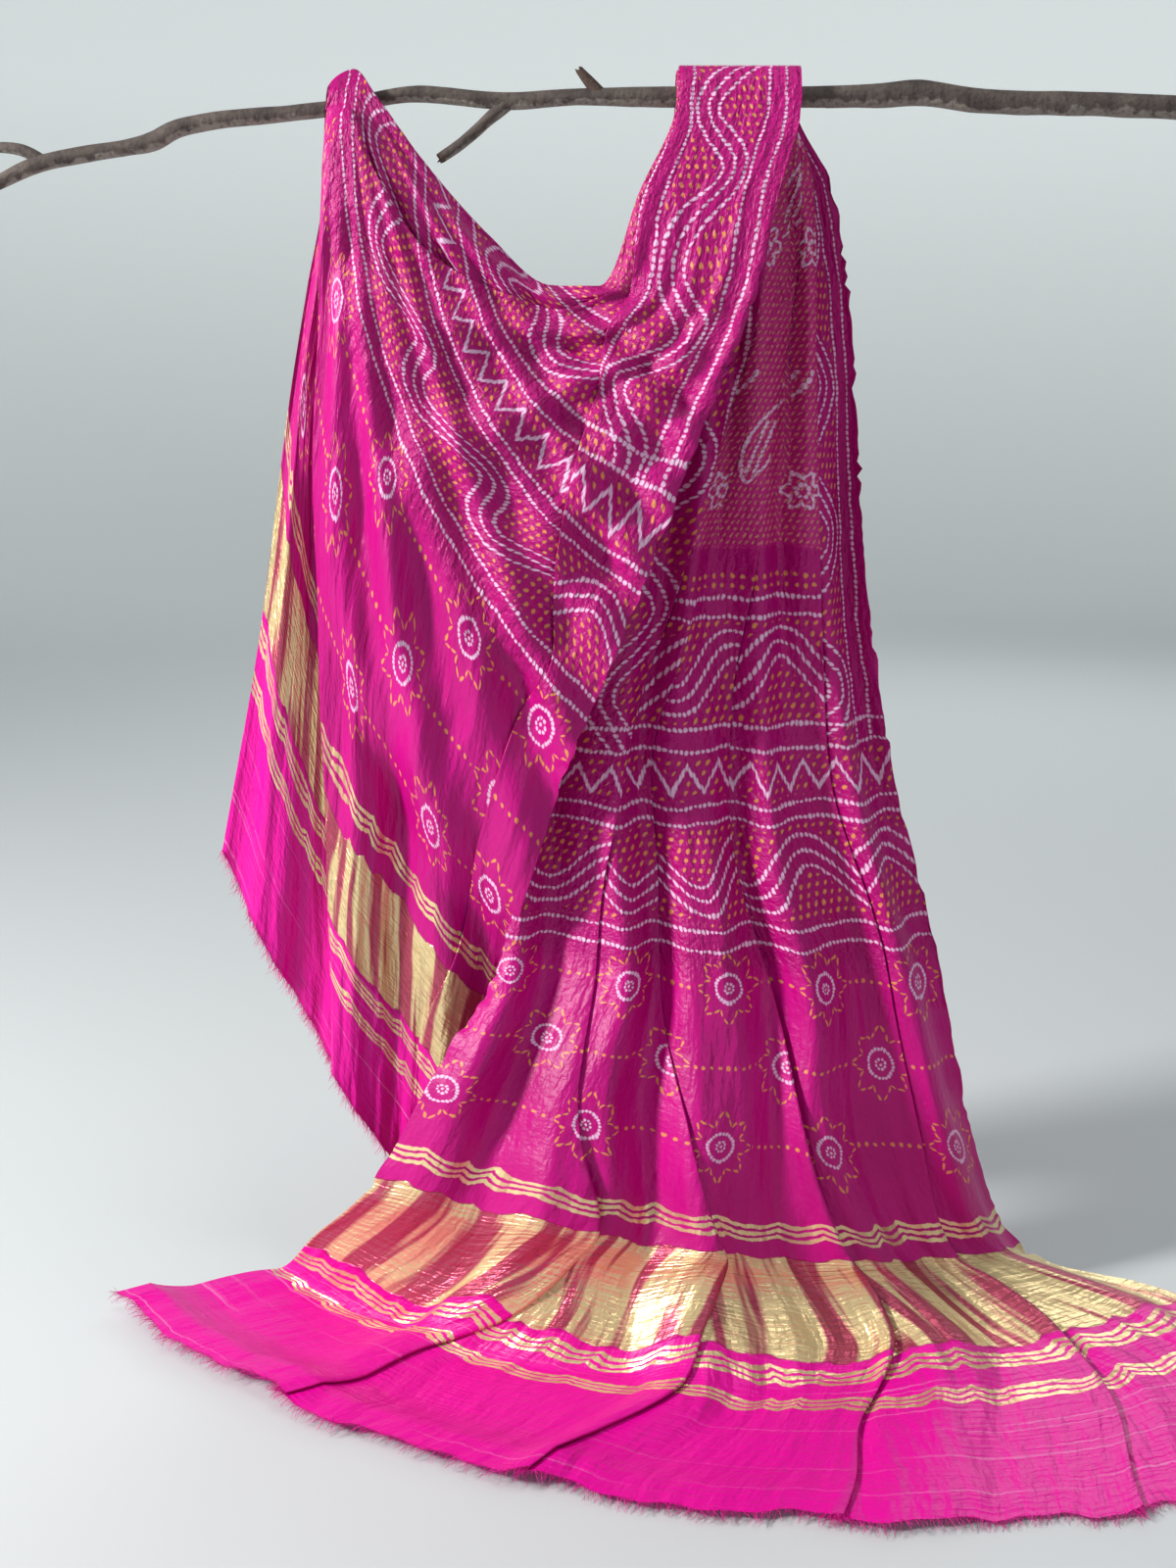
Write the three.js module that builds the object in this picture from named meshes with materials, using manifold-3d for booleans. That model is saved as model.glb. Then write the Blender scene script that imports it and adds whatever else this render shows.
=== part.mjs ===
// A long silk cloth draped over a natural branch: it rises from the floor behind the branch,
// passes over it, comes down in front, and is caught up again on the branch to the left.
// Millimetres, +Z up, the floor at Z = 0, the front on the -Y side.
import * as THREE from "three";
import Module from "manifold-3d";

const wasm = await Module();
wasm.setup();

const RIGHT_ANGLE = Math.PI / 2;
const DEGREE = Math.PI / 180;

// The cloth.
const CLOTH_THICKNESS = 1.0;
const CLOTH_COLOUR = 0xc0047e;
const LAYER_STEP = 1.8; // from one layer of a flat stack to the next
const OPEN_COVER = 0.3; // share of a pleat's layers that cover each other
const FLAT_COVER = 0.48;
const LEAST_BOW = 0.01; // degrees: a straight row is a very slight arc
const FLOOR_CLEARANCE = 0.7; // of the sheet's middle where it lies on the floor
const LAYER_POINTS = 3; // between one crease and the next
const CREASE_POINTS = 3;

// The right support, where all layers lie flat over the branch.
const WRAP_CENTRE = [0, 1023];
const WRAP_RADIUS = 23.5; // of the outermost layer
const WRAP_RIGHT = 168;
const WRAP_LEFT = 70;

// The left support, where the gathered fold leans back over the branch.
const LEAN_FROM = 1027;
const LEAN = 1.1;

// One row for each station along the cloth, from the end on the floor to the hanging end.
// v: distance along the cloth. ex, ey, ez: the right selvedge. lx, ly, lz: the row's left end.
// bow: how far the row turns on its way, degrees. face: where the outer side looks, degrees, from
// -180 (down) by -90 (back) and 0 (up) to 90 (front). roll: radius of the creases.
// climb: how far each pleat ends behind the one before. swell: how far the row's middle stands
// out, the same way as its outer side.
// c: the creases and the left selvedge, as shares of the row, odd ones on the left side.
const STATIONS = [
  { v: 0, ex: 610, ey: -290, ez: 1, lx: -418, ly: -81, lz: 1, bow: 76, face: -180, roll: 1.5,
    climb: 0, swell: 0, c: [0.2, 0.192, 0.4, 0.392, 0.6, 0.592, 0.8, 0.792, 1] },
  { v: 150, ex: 575, ey: -130, ez: 1, lx: -290, ly: -25, lz: 1, bow: 80, face: -180, roll: 3,
    climb: 0, swell: 0, c: [0.22, 0.185, 0.42, 0.385, 0.6, 0.565, 0.8, 0.765, 1] },
  { v: 230, ex: 520, ey: -50, ez: 2, lx: -245, ly: -55, lz: 52, bow: 74, face: -170, roll: 4,
    climb: 0, swell: -20, c: [0.23, 0.17, 0.43, 0.365, 0.61, 0.545, 0.8, 0.735, 1] },
  { v: 320, ex: 412, ey: -14, ez: 22, lx: -188, ly: -95, lz: 125, bow: 34, face: -125, roll: 5,
    climb: 1, swell: -80, c: [0.24, 0.15, 0.44, 0.34, 0.62, 0.52, 0.8, 0.7, 1] },
  { v: 450, ex: 350, ey: -28, ez: 146, lx: -135, ly: -88, lz: 228, bow: 12, face: -100, roll: 6,
    climb: 2.5, swell: -52, c: [0.25, 0.13, 0.48, 0.35, 0.7, 0.57, 0.87, 0.75, 1] },
  { v: 616, ex: 311, ey: -20, ez: 309, lx: -74, ly: -54, lz: 335, bow: 6, face: -92, roll: 6,
    climb: 3.6, swell: -28, c: [0.31, 0.14, 0.6, 0.42, 0.82, 0.65, 0.96, 0.8, 1] },
  { v: 790, ex: 266, ey: 0, ez: 475, lx: -55, ly: -28, lz: 480, bow: 6, face: -90, roll: 4,
    climb: 3.6, swell: -16, c: [0.42, 0.18, 0.74, 0.46, 0.94, 0.66, 1.0, 0.74, 1] },
  { v: 980, ex: 235, ey: 18, ez: 662, lx: -12, ly: 0, lz: 662, bow: 0, face: -90, roll: 2,
    climb: 3.6, swell: -8, c: [0.52, 0.16, 0.78, 0.38, 0.96, 0.54, 1.04, 0.62, 1] },
  { v: 1150, ex: 222, ey: 26, ez: 830, lx: 30, ly: 26, lz: 830, bow: 0, face: -90, roll: 0.9,
    climb: 3.6, swell: 0, c: [0.64, 0.16, 0.82, 0.28, 0.94, 0.38, 1.0, 0.46, 1] },
  { v: 1280, ex: 200, ey: 26, ez: 958, lx: 58, ly: 26, lz: 958, bow: 0, face: -90, roll: 0.9,
    climb: 3.6, swell: 0, c: [0.78, 0.1, 0.88, 0.18, 0.94, 0.26, 1.0, 0.32, 1] },
  { v: 1530, ex: 150, ey: -36, ez: 945, lx: 39, ly: -34, lz: 945, bow: -14, face: 90, roll: 0.9,
    climb: 3.6, swell: 0, c: [0.96, 0.02, 1.0, 0.04, 1, 0.12, 0.95, 0.12, 0.9] },
  { v: 1600, ex: 133, ey: -42, ez: 868, lx: 8, ly: -33, lz: 877, bow: -42, face: 90, roll: 0.9,
    climb: 3.6, swell: 3, c: [0.8, 0.02, 0.9, 0.12, 1, 0.2, 0.93, 0.2, 0.85] },
  { v: 1650, ex: 118, ey: -47, ez: 827, lx: -31, ly: -33, lz: 878, bow: -66, face: 90, roll: 0.9,
    climb: 3.6, swell: 6, c: [0.64, 0.04, 0.85, 0.25, 1, 0.3, 0.92, 0.3, 0.8] },
  { v: 1720, ex: 92, ey: -56, ez: 765, lx: -78, ly: -35, lz: 915, bow: -74, face: 90, roll: 1.5,
    climb: 3.6, swell: 12, c: [0.37, 0.05, 0.8, 0.52, 1, 0.45, 0.86, 0.42, 0.76] },
  { v: 1820, ex: 46, ey: -74, ez: 645, lx: -131, ly: -36, lz: 974, bow: -62, face: 90, roll: 3,
    climb: 3.6, swell: 20, c: [0.21, 0.05, 0.82, 0.76, 1, 0.6, 0.85, 0.54, 0.73] },
  { v: 1890, ex: 22, ey: -86, ez: 585, lx: -166, ly: -30, lz: 1021, bow: -54, face: 90, roll: 2,
    climb: 3.6, swell: 20, c: [0.14, 0.07, 0.88, 0.85, 1, 0.65, 0.84, 0.57, 0.72] },
  { v: 1940, ex: 2, ey: -90, ez: 540, lx: -187, ly: -26, lz: 1046, bow: -50, face: 90, roll: 1,
    climb: 3.6, swell: 18, c: [0.09, 0.06, 0.94, 0.92, 1, 0.68, 0.84, 0.58, 0.7] },
  { v: 1985, ex: -15, ey: -88, ez: 500, lx: -205, ly: -28, lz: 1030, bow: -48, face: 90, roll: 1,
    climb: 3.6, swell: 18, c: [0.1, 0.06, 0.9, 0.87, 1, 0.68, 0.84, 0.56, 0.68] },
  { v: 2060, ex: -38, ey: -86, ez: 428, lx: -212, ly: -30, lz: 945, bow: -48, face: 90, roll: 3,
    climb: 3.6, swell: 18, c: [0.11, 0.06, 0.83, 0.77, 1, 0.66, 0.8, 0.5, 0.62] },
  { v: 2120, ex: -56, ey: -78, ez: 369, lx: -226, ly: -31, lz: 880, bow: -45, face: 90, roll: 4,
    climb: 3.6, swell: 18, c: [0.11, 0.06, 0.76, 0.69, 1, 0.64, 0.77, 0.47, 0.59] },
  { v: 2200, ex: -68, ey: -40, ez: 297, lx: -244, ly: -32, lz: 790, bow: -38, face: 90, roll: 5,
    climb: 3.6, swell: 15, c: [0.12, 0.06, 0.69, 0.6, 1, 0.62, 0.74, 0.44, 0.56] },
  { v: 2400, ex: -98, ey: -38, ez: 150, lx: -280, ly: -32, lz: 585, bow: -25, face: 90, roll: 6,
    climb: 3.6, swell: 10, c: [0.2, 0.1, 0.57, 0.43, 1, 0.55, 0.7, 0.36, 0.5] },
  { v: 2580, ex: -112, ey: -34, ez: 16, lx: -320, ly: -26, lz: 404, bow: -12, face: 90, roll: 7,
    climb: 3.6, swell: 6, c: [0.22, 0.1, 0.51, 0.36, 1, 0.5, 0.66, 0.32, 0.46] },
];

// How many rows the sheet has up to each distance along.
const SPACING = [
  { to: 1345, rows: 24 },
  { to: 1425, rows: 8 },
  { to: 2580, rows: 22 },
];

// Extra stations round the branch, from facing back to facing front.
const WRAP_FROM = 1345;
const WRAP_TO = 1425;
const WRAP_STATIONS = 9;
const WRAP_CREASES = [0.98, 0.03, 1, 0.02, 0.97, 0, 1, 0.04, 0.96];

function wrapStation(k) {
  const share = k / (WRAP_STATIONS - 1);
  const v = WRAP_FROM + (WRAP_TO - WRAP_FROM) * share;
  const face = 180 * share - 90;
  const y = WRAP_CENTRE[0] - WRAP_RADIUS * Math.sin(face * DEGREE);
  const z = WRAP_CENTRE[1] + WRAP_RADIUS * Math.cos(face * DEGREE);
  const ends = { ex: WRAP_RIGHT, ey: y, ez: z, lx: WRAP_LEFT, ly: y, lz: z };
  const flat = { bow: 0, face, roll: LAYER_STEP / 2, climb: 2 * LAYER_STEP, swell: 0 };
  return { v, ...ends, ...flat, c: WRAP_CREASES };
}

const stations = [...STATIONS, ...Array.from({ length: WRAP_STATIONS }, (_, k) => wrapStation(k))]
  .sort((a, b) => a.v - b.v)
  .map(({ v, c, ...rest }) => ({ v, values: [...Object.values(rest), ...c] }));

// Cubic through the stations, with slopes that don't overshoot.
function slope(before, here, after, k) {
  const left = (here.values[k] - before.values[k]) / (here.v - before.v);
  const right = (after.values[k] - here.values[k]) / (after.v - here.v);
  if (left * right <= 0) return 0;
  return (2 * left * right) / (left + right);
}

function stationAt(v) {
  let i = 0;
  while (i < stations.length - 2 && stations[i + 1].v < v) i++;
  const a = stations[i];
  const b = stations[i + 1];
  const before = stations[Math.max(i - 1, 0)];
  const after = stations[Math.min(i + 2, stations.length - 1)];
  const span = b.v - a.v;
  const t = (v - a.v) / span;
  return a.values.map((value, k) => {
    const chord = (b.values[k] - value) / span;
    const start = i === 0 ? chord : slope(before, a, b, k);
    const end = i === stations.length - 2 ? chord : slope(a, b, after, k);
    const t2 = t * t;
    const t3 = t2 * t;
    return (
      value * (2 * t3 - 3 * t2 + 1) +
      b.values[k] * (3 * t2 - 2 * t3) +
      span * (start * (t3 - 2 * t2 + t) + end * (t3 - t2))
    );
  });
}

// A pleat whose layers cover each other lies flat; an open one is rolled.
function pleatAt(creases, i, roll, climb) {
  const before = Math.abs(creases[i] - creases[i - 1]);
  const under = Math.abs(creases[i] - creases[i + 1]);
  const after = Math.abs(creases[i + 2] - creases[i + 1]);
  const cover = under / Math.min(before, after);
  const flat = THREE.MathUtils.smoothstep(cover, OPEN_COVER, FLAT_COVER);
  return {
    radius: THREE.MathUtils.lerp(roll, LAYER_STEP / 2, flat),
    climb: THREE.MathUtils.lerp(climb, 2 * LAYER_STEP, flat),
  };
}

// How deep a layer lies that starts at one share and ends at another, to pass behind what it covers.
function depthBehind(profile, from, to) {
  const low = Math.min(from, to);
  const high = Math.max(from, to);
  const covered = profile.filter(({ share }) => share >= low && share <= high);
  return Math.min(...covered.map(({ depth }) => depth)) - LAYER_STEP;
}

// How far a layer that starts at a depth may come forward again by its end.
function riseBehind(profile, from, to, depth, wanted) {
  const limits = profile
    .filter(({ share }) => share > from && share < to)
    .map((p) => ((p.depth - LAYER_STEP - depth) * (to - from)) / (p.share - from));
  return Math.max(Math.min(wanted, ...limits), 0);
}

// A row's way from crease to crease, each layer behind the last: shares of its length and depths.
function profileAt(creases, roll, climb, length) {
  const profile = [];
  const ends = [0, ...creases];
  let depth = 0;
  let reach = 0;
  let wanted = 0;
  creases.forEach((crease, i) => {
    const side = i % 2 === 0 ? 1 : -1;
    const last = i === creases.length - 1;
    const pleat = last ? { radius: 0, climb: 0 } : pleatAt(ends, 2 * (i >> 1) + 1, roll, climb);
    const from = ends[i] + (side * reach) / length;
    const to = crease - (side * pleat.radius) / length;
    const rise = side > 0 && i > 0 ? riseBehind(profile, from, to, depth, wanted) : 0;
    for (let k = i === 0 ? 0 : 1; k <= LAYER_POINTS + (last ? 1 : 0); k++) {
      const t = k / (LAYER_POINTS + 1);
      profile.push({ share: from + (to - from) * t, depth: depth + rise * t });
    }
    depth += rise;
    if (last) return;
    profile.push({ share: to, depth });
    const behind = depthBehind(profile, ends[i + 2] ?? crease, crease);
    const radius = Math.max(pleat.radius, (depth - behind) / 2);
    for (let k = 1; k < CREASE_POINTS; k++) {
      const angle = (Math.PI * k) / (CREASE_POINTS - 1);
      const share = to + (side * pleat.radius * Math.sin(angle)) / length;
      profile.push({ share, depth: depth - radius * (1 - Math.cos(angle)) });
    }
    depth -= 2 * radius;
    reach = pleat.radius;
    wanted = side > 0 ? 4 * pleat.radius - pleat.climb : wanted;
  });
  return profile;
}

// One row of the sheet: its points, and there the direction across the sheet.
function rowAt(v) {
  const [ex, ey, ez, lx, ly, lz, bow, face, roll, climb, swell, ...creases] = stationAt(v);
  const right = new THREE.Vector3(ex, ey, ez);
  const chord = new THREE.Vector3(lx, ly, lz).sub(right);
  const along = chord.clone().normalize();
  const outward = new THREE.Vector3(0, -Math.sin(face * DEGREE), Math.cos(face * DEGREE));
  outward.addScaledVector(along, -outward.dot(along)).normalize();
  const grain = outward.clone().cross(along);
  const turn = Math.max(Math.abs(bow), LEAST_BOW) * (bow < 0 ? -1 : 1) * DEGREE;
  const radius = chord.length() / (2 * Math.sin(turn / 2));
  const length = radius * turn;
  const profile = profileAt(creases, roll, climb, length).map(({ share, depth }) => {
    return { share, layer: depth, depth: depth + 4 * swell * share * (1 - share) };
  });
  return profile.map(({ share, layer, depth }, i) => {
    const angle = turn * (share - 0.5);
    const heading = along.clone().multiplyScalar(Math.cos(angle));
    heading.addScaledVector(grain, Math.sin(angle));
    const point = right
      .clone()
      .addScaledVector(along, radius * (Math.sin(angle) + Math.sin(turn / 2)))
      .addScaledVector(grain, radius * (Math.cos(turn / 2) - Math.cos(angle)))
      .addScaledVector(outward, depth);
    point.z = Math.max(point.z, FLOOR_CLEARANCE - layer);
    if (point.x < 0) point.y += LEAN * Math.max(point.z - LEAN_FROM, 0);
    const before = profile[Math.max(i - 1, 0)];
    const after = profile[Math.min(i + 1, profile.length - 1)];
    const normal = outward
      .clone()
      .multiplyScalar((after.share - before.share) * length)
      .addScaledVector(heading, before.depth - after.depth)
      .normalize();
    return { point, normal };
  });
}

// The closed solid between the two sides of a sheet given by its rows.
function sheetSolid(rows, thickness) {
  const height = rows.length;
  const width = rows[0].length;
  const positions = [1, -1].flatMap((side) =>
    rows.flat().flatMap(({ point, normal }) =>
      point.clone().addScaledVector(normal, (side * thickness) / 2).toArray(),
    ),
  );
  const index = [];
  const back = width * height;
  const at = (j, i) => j * width + i;
  for (let j = 0; j < height - 1; j++) {
    for (let i = 0; i < width - 1; i++) {
      const [a, b, c, d] = [at(j, i), at(j, i + 1), at(j + 1, i + 1), at(j + 1, i)];
      index.push(a, b, c, a, c, d);
      index.push(back + a, back + c, back + b, back + a, back + d, back + c);
    }
  }
  const rim = [];
  for (let i = 0; i < width - 1; i++) rim.push([at(0, i), at(0, i + 1)]);
  for (let j = 0; j < height - 1; j++) rim.push([at(j, width - 1), at(j + 1, width - 1)]);
  for (let i = width - 1; i > 0; i--) rim.push([at(height - 1, i), at(height - 1, i - 1)]);
  for (let j = height - 1; j > 0; j--) rim.push([at(j, 0), at(j - 1, 0)]);
  rim.forEach(([a, b]) => index.push(b, a, back + a, b, back + a, back + b));
  return new THREE.BufferGeometry()
    .setAttribute("position", new THREE.Float32BufferAttribute(positions, 3))
    .setIndex(index);
}

function sheetRows() {
  const rows = [rowAt(0)];
  let from = 0;
  for (const { to, rows: count } of SPACING) {
    for (let k = 1; k <= count; k++) rows.push(rowAt(from + ((to - from) * k) / count));
    from = to;
  }
  return rows;
}

// The branch: distance across, height, radius at each knot of its limbs.
const BRANCH_COLOUR = 0x6f665f;
const RING_POINTS = 14;
const RINGS_PER_KNOT = 3;
const LIMB = [
  { x: -520, y: 0, z: 938, r: 5.4 },
  { x: -474, y: 0, z: 959, r: 5.6 },
  { x: -440, y: 1, z: 973, r: 6.4 },
  { x: -370, y: 0, z: 985, r: 6.2 },
  { x: -350, y: 0, z: 989, r: 7.4 },
  { x: -322, y: -1, z: 1001, r: 7.0 },
  { x: -207, y: 0, z: 1014, r: 5.8 },
  { x: -141, y: 0, z: 1025, r: 6.0 },
  { x: -66, y: 1, z: 1020, r: 6.6 },
  { x: -10, y: 0, z: 1023, r: 6.4 },
  { x: 60, y: 0, z: 1023, r: 8.0 },
  { x: 120, y: 0, z: 1023, r: 8.0 },
  { x: 178, y: 0, z: 1023, r: 8.0 },
  { x: 234, y: 0, z: 1024, r: 9.4 },
  { x: 266, y: 0, z: 1026, r: 9.6 },
  { x: 313, y: 1, z: 1020, r: 9.2 },
  { x: 400, y: 0, z: 1018, r: 9.0 },
  { x: 496, y: 0, z: 1014, r: 8.8 },
  { x: 520, y: 0, z: 1014, r: 8.8 },
];
const TWIG = [
  { x: -62, y: 1, z: 1020, r: 5.6 },
  { x: -78, y: -2, z: 1007, r: 5.0 },
  { x: -100, y: -6, z: 988, r: 4.2 },
  { x: -119, y: -9, z: 975, r: 4.0 },
];
const FORK = [
  { x: -438, y: 1, z: 974, r: 5.0 },
  { x: -455, y: 4, z: 983, r: 4.6 },
  { x: -478, y: 8, z: 986, r: 4.2 },
  { x: -504, y: 12, z: 984, r: 4.0 },
];
const STUB = [
  { x: 12, y: 0, z: 1022, r: 6.0 },
  { x: 2, y: -1, z: 1033, r: 4.6 },
  { x: -7, y: -2, z: 1043, r: 3.2 },
];

function limbSolid(knots) {
  const path = new THREE.CatmullRomCurve3(knots.map((k) => new THREE.Vector3(k.x, k.y, k.z)));
  const rings = (knots.length - 1) * RINGS_PER_KNOT;
  const positions = [];
  const index = [];
  for (let j = 0; j <= rings; j++) {
    const t = j / rings;
    const knot = Math.min(Math.floor(t * (knots.length - 1)), knots.length - 2);
    const share = t * (knots.length - 1) - knot;
    const radius = knots[knot].r + (knots[knot + 1].r - knots[knot].r) * share;
    const centre = path.getPoint(t);
    const ahead = path.getTangent(t);
    const side = new THREE.Vector3(0, 1, 0).addScaledVector(ahead, -ahead.y).normalize();
    const above = side.clone().cross(ahead);
    for (let i = 0; i < RING_POINTS; i++) {
      const angle = (2 * Math.PI * i) / RING_POINTS;
      const point = centre
        .clone()
        .addScaledVector(side, radius * Math.cos(angle))
        .addScaledVector(above, radius * Math.sin(angle));
      positions.push(...point.toArray());
    }
  }
  const at = (j, i) => j * RING_POINTS + (i % RING_POINTS);
  for (let j = 0; j < rings; j++) {
    for (let i = 0; i < RING_POINTS; i++) {
      index.push(at(j, i), at(j + 1, i), at(j + 1, i + 1));
      index.push(at(j, i), at(j + 1, i + 1), at(j, i + 1));
    }
  }
  for (let i = 1; i < RING_POINTS - 1; i++) {
    index.push(at(0, 0), at(0, i), at(0, i + 1));
    index.push(at(rings, 0), at(rings, i + 1), at(rings, i));
  }
  const made = new wasm.Mesh({
    numProp: 3,
    vertProperties: new Float32Array(positions),
    triVerts: new Uint32Array(index),
  });
  return new wasm.Manifold(made);
}

function branchGeometry() {
  const whole = wasm.Manifold.union([LIMB, TWIG, FORK, STUB].map(limbSolid)).getMesh();
  return new THREE.BufferGeometry()
    .setAttribute("position", new THREE.Float32BufferAttribute(whole.vertProperties, 3))
    .setIndex([...whole.triVerts]);
}

const cloth = new THREE.Mesh(
  sheetSolid(sheetRows(), CLOTH_THICKNESS),
  new THREE.MeshStandardMaterial({ color: CLOTH_COLOUR, roughness: 0.45, metalness: 0 }),
);
cloth.name = "cloth";

const branch = new THREE.Mesh(
  branchGeometry(),
  new THREE.MeshStandardMaterial({ color: BRANCH_COLOUR, roughness: 0.85, metalness: 0 }),
);
branch.name = "branch";

// The group stands centred over the middle of its own floor area.
const HOME = [-44, 176.5, -0.5];
const group = new THREE.Group();
group.add(cloth, branch);
group.position.set(...HOME);
export default group;
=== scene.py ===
"""A long tie-dyed silk cloth draped over a natural branch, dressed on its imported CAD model.

The cloth is one thin sheet on the folds of its solid. Its knots, waves, suns and woven bands are
worked out in the shader from distances along and across the cut cloth. Metres, +Z up, the front
on the -Y side.
"""

import logging
import math
from dataclasses import dataclass, field
from enum import Enum

import bpy
import numpy as np
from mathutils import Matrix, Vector, noise

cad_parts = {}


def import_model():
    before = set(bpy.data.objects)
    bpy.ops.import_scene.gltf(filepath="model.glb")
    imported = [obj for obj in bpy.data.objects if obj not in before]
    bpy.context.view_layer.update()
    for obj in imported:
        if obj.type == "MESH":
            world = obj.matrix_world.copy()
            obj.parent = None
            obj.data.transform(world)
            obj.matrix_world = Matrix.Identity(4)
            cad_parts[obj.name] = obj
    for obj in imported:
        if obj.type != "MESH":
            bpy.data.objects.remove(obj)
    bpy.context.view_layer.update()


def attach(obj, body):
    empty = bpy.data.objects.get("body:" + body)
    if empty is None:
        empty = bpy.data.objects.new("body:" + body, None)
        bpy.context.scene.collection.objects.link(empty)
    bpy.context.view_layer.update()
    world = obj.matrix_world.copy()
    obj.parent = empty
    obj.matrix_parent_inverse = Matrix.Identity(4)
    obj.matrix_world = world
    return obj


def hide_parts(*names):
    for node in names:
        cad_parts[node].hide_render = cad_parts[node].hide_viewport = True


LOG = logging.getLogger("scene")

MILLIMETRE = 0.001
HOME = np.array([-44.0, 176.5, -0.5])  # millimetres: where the drawing's origin stands in the frame
CLOTH_WIDTH = 1.16
CLOTH_LENGTH = 2.58
SEED = 7


def srgb(red: float, green: float, blue: float) -> tuple[float, float, float, float]:
    """Turns a colour as seen, 0 to 255, into a linear one.

    Args:
        red: Red, 0 to 255.
        green: Green, 0 to 255.
        blue: Blue, 0 to 255.

    Returns:
        The linear colour with alpha 1.
    """
    shares = [c / 255 for c in (red, green, blue)]
    linear = [c / 12.92 if c <= 0.04045 else ((c + 0.055) / 1.055) ** 2.4 for c in shares]
    return (linear[0], linear[1], linear[2], 1.0)


class Value:
    """A float or colour output in a shader graph, with arithmetic."""

    def __init__(self, graph: "Graph", socket: bpy.types.NodeSocket) -> None:
        """Keeps the graph and the output socket."""
        self.graph = graph
        self.socket = socket

    def __add__(self, other: "Value | float") -> "Value":
        """Sum."""
        return self.graph.math("ADD", self, other)

    def __radd__(self, other: "Value | float") -> "Value":
        """Sum, from the right."""
        return self.graph.math("ADD", other, self)

    def __sub__(self, other: "Value | float") -> "Value":
        """Difference."""
        return self.graph.math("SUBTRACT", self, other)

    def __rsub__(self, other: "Value | float") -> "Value":
        """Difference, from the right."""
        return self.graph.math("SUBTRACT", other, self)

    def __mul__(self, other: "Value | float") -> "Value":
        """Product."""
        return self.graph.math("MULTIPLY", self, other)

    def __rmul__(self, other: "Value | float") -> "Value":
        """Product, from the right."""
        return self.graph.math("MULTIPLY", other, self)

    def __truediv__(self, other: "Value | float") -> "Value":
        """Quotient."""
        return self.graph.math("DIVIDE", self, other)

    def __rtruediv__(self, other: "Value | float") -> "Value":
        """Quotient, from the right."""
        return self.graph.math("DIVIDE", other, self)

    def __neg__(self) -> "Value":
        """The negative."""
        return self.graph.math("MULTIPLY", self, -1.0)

    def size(self) -> "Value":
        """The absolute value."""
        return self.graph.math("ABSOLUTE", self)

    def fraction(self) -> "Value":
        """What is left above the next lower whole number."""
        return self.graph.math("FRACT", self)

    def floor(self) -> "Value":
        """The next lower whole number."""
        return self.graph.math("FLOOR", self)

    def root(self) -> "Value":
        """The square root."""
        return self.graph.math("SQRT", self)

    def sine(self) -> "Value":
        """The sine."""
        return self.graph.math("SINE", self)

    def cosine(self) -> "Value":
        """The cosine."""
        return self.graph.math("COSINE", self)

    def least(self, other: "Value | float") -> "Value":
        """The smaller of two."""
        return self.graph.math("MINIMUM", self, other)

    def most(self, other: "Value | float") -> "Value":
        """The larger of two."""
        return self.graph.math("MAXIMUM", self, other)

    def below(self, limit: "Value | float", soft: float) -> "Value":
        """1 where this is under a limit, 0 over it, with a soft edge.

        Args:
            limit: The limit.
            soft: Half the width of the edge.

        Returns:
            The mask.
        """
        return self.graph.math("MULTIPLY_ADD", self - limit, -0.5 / soft, 0.5, clamp=True)

    def above(self, limit: "Value | float", soft: float) -> "Value":
        """1 where this is over a limit, 0 under it, with a soft edge.

        Args:
            limit: The limit.
            soft: Half the width of the edge.

        Returns:
            The mask.
        """
        return self.graph.math("MULTIPLY_ADD", self - limit, 0.5 / soft, 0.5, clamp=True)

    def within(self, low: float, high: float, soft: float) -> "Value":
        """1 between two limits, 0 outside them, with soft edges.

        Args:
            low: The lower limit.
            high: The upper limit.
            soft: Half the width of each edge.

        Returns:
            The mask.
        """
        middle = (self - (low + high) / 2).size()
        return middle.below((high - low) / 2, soft)


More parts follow.
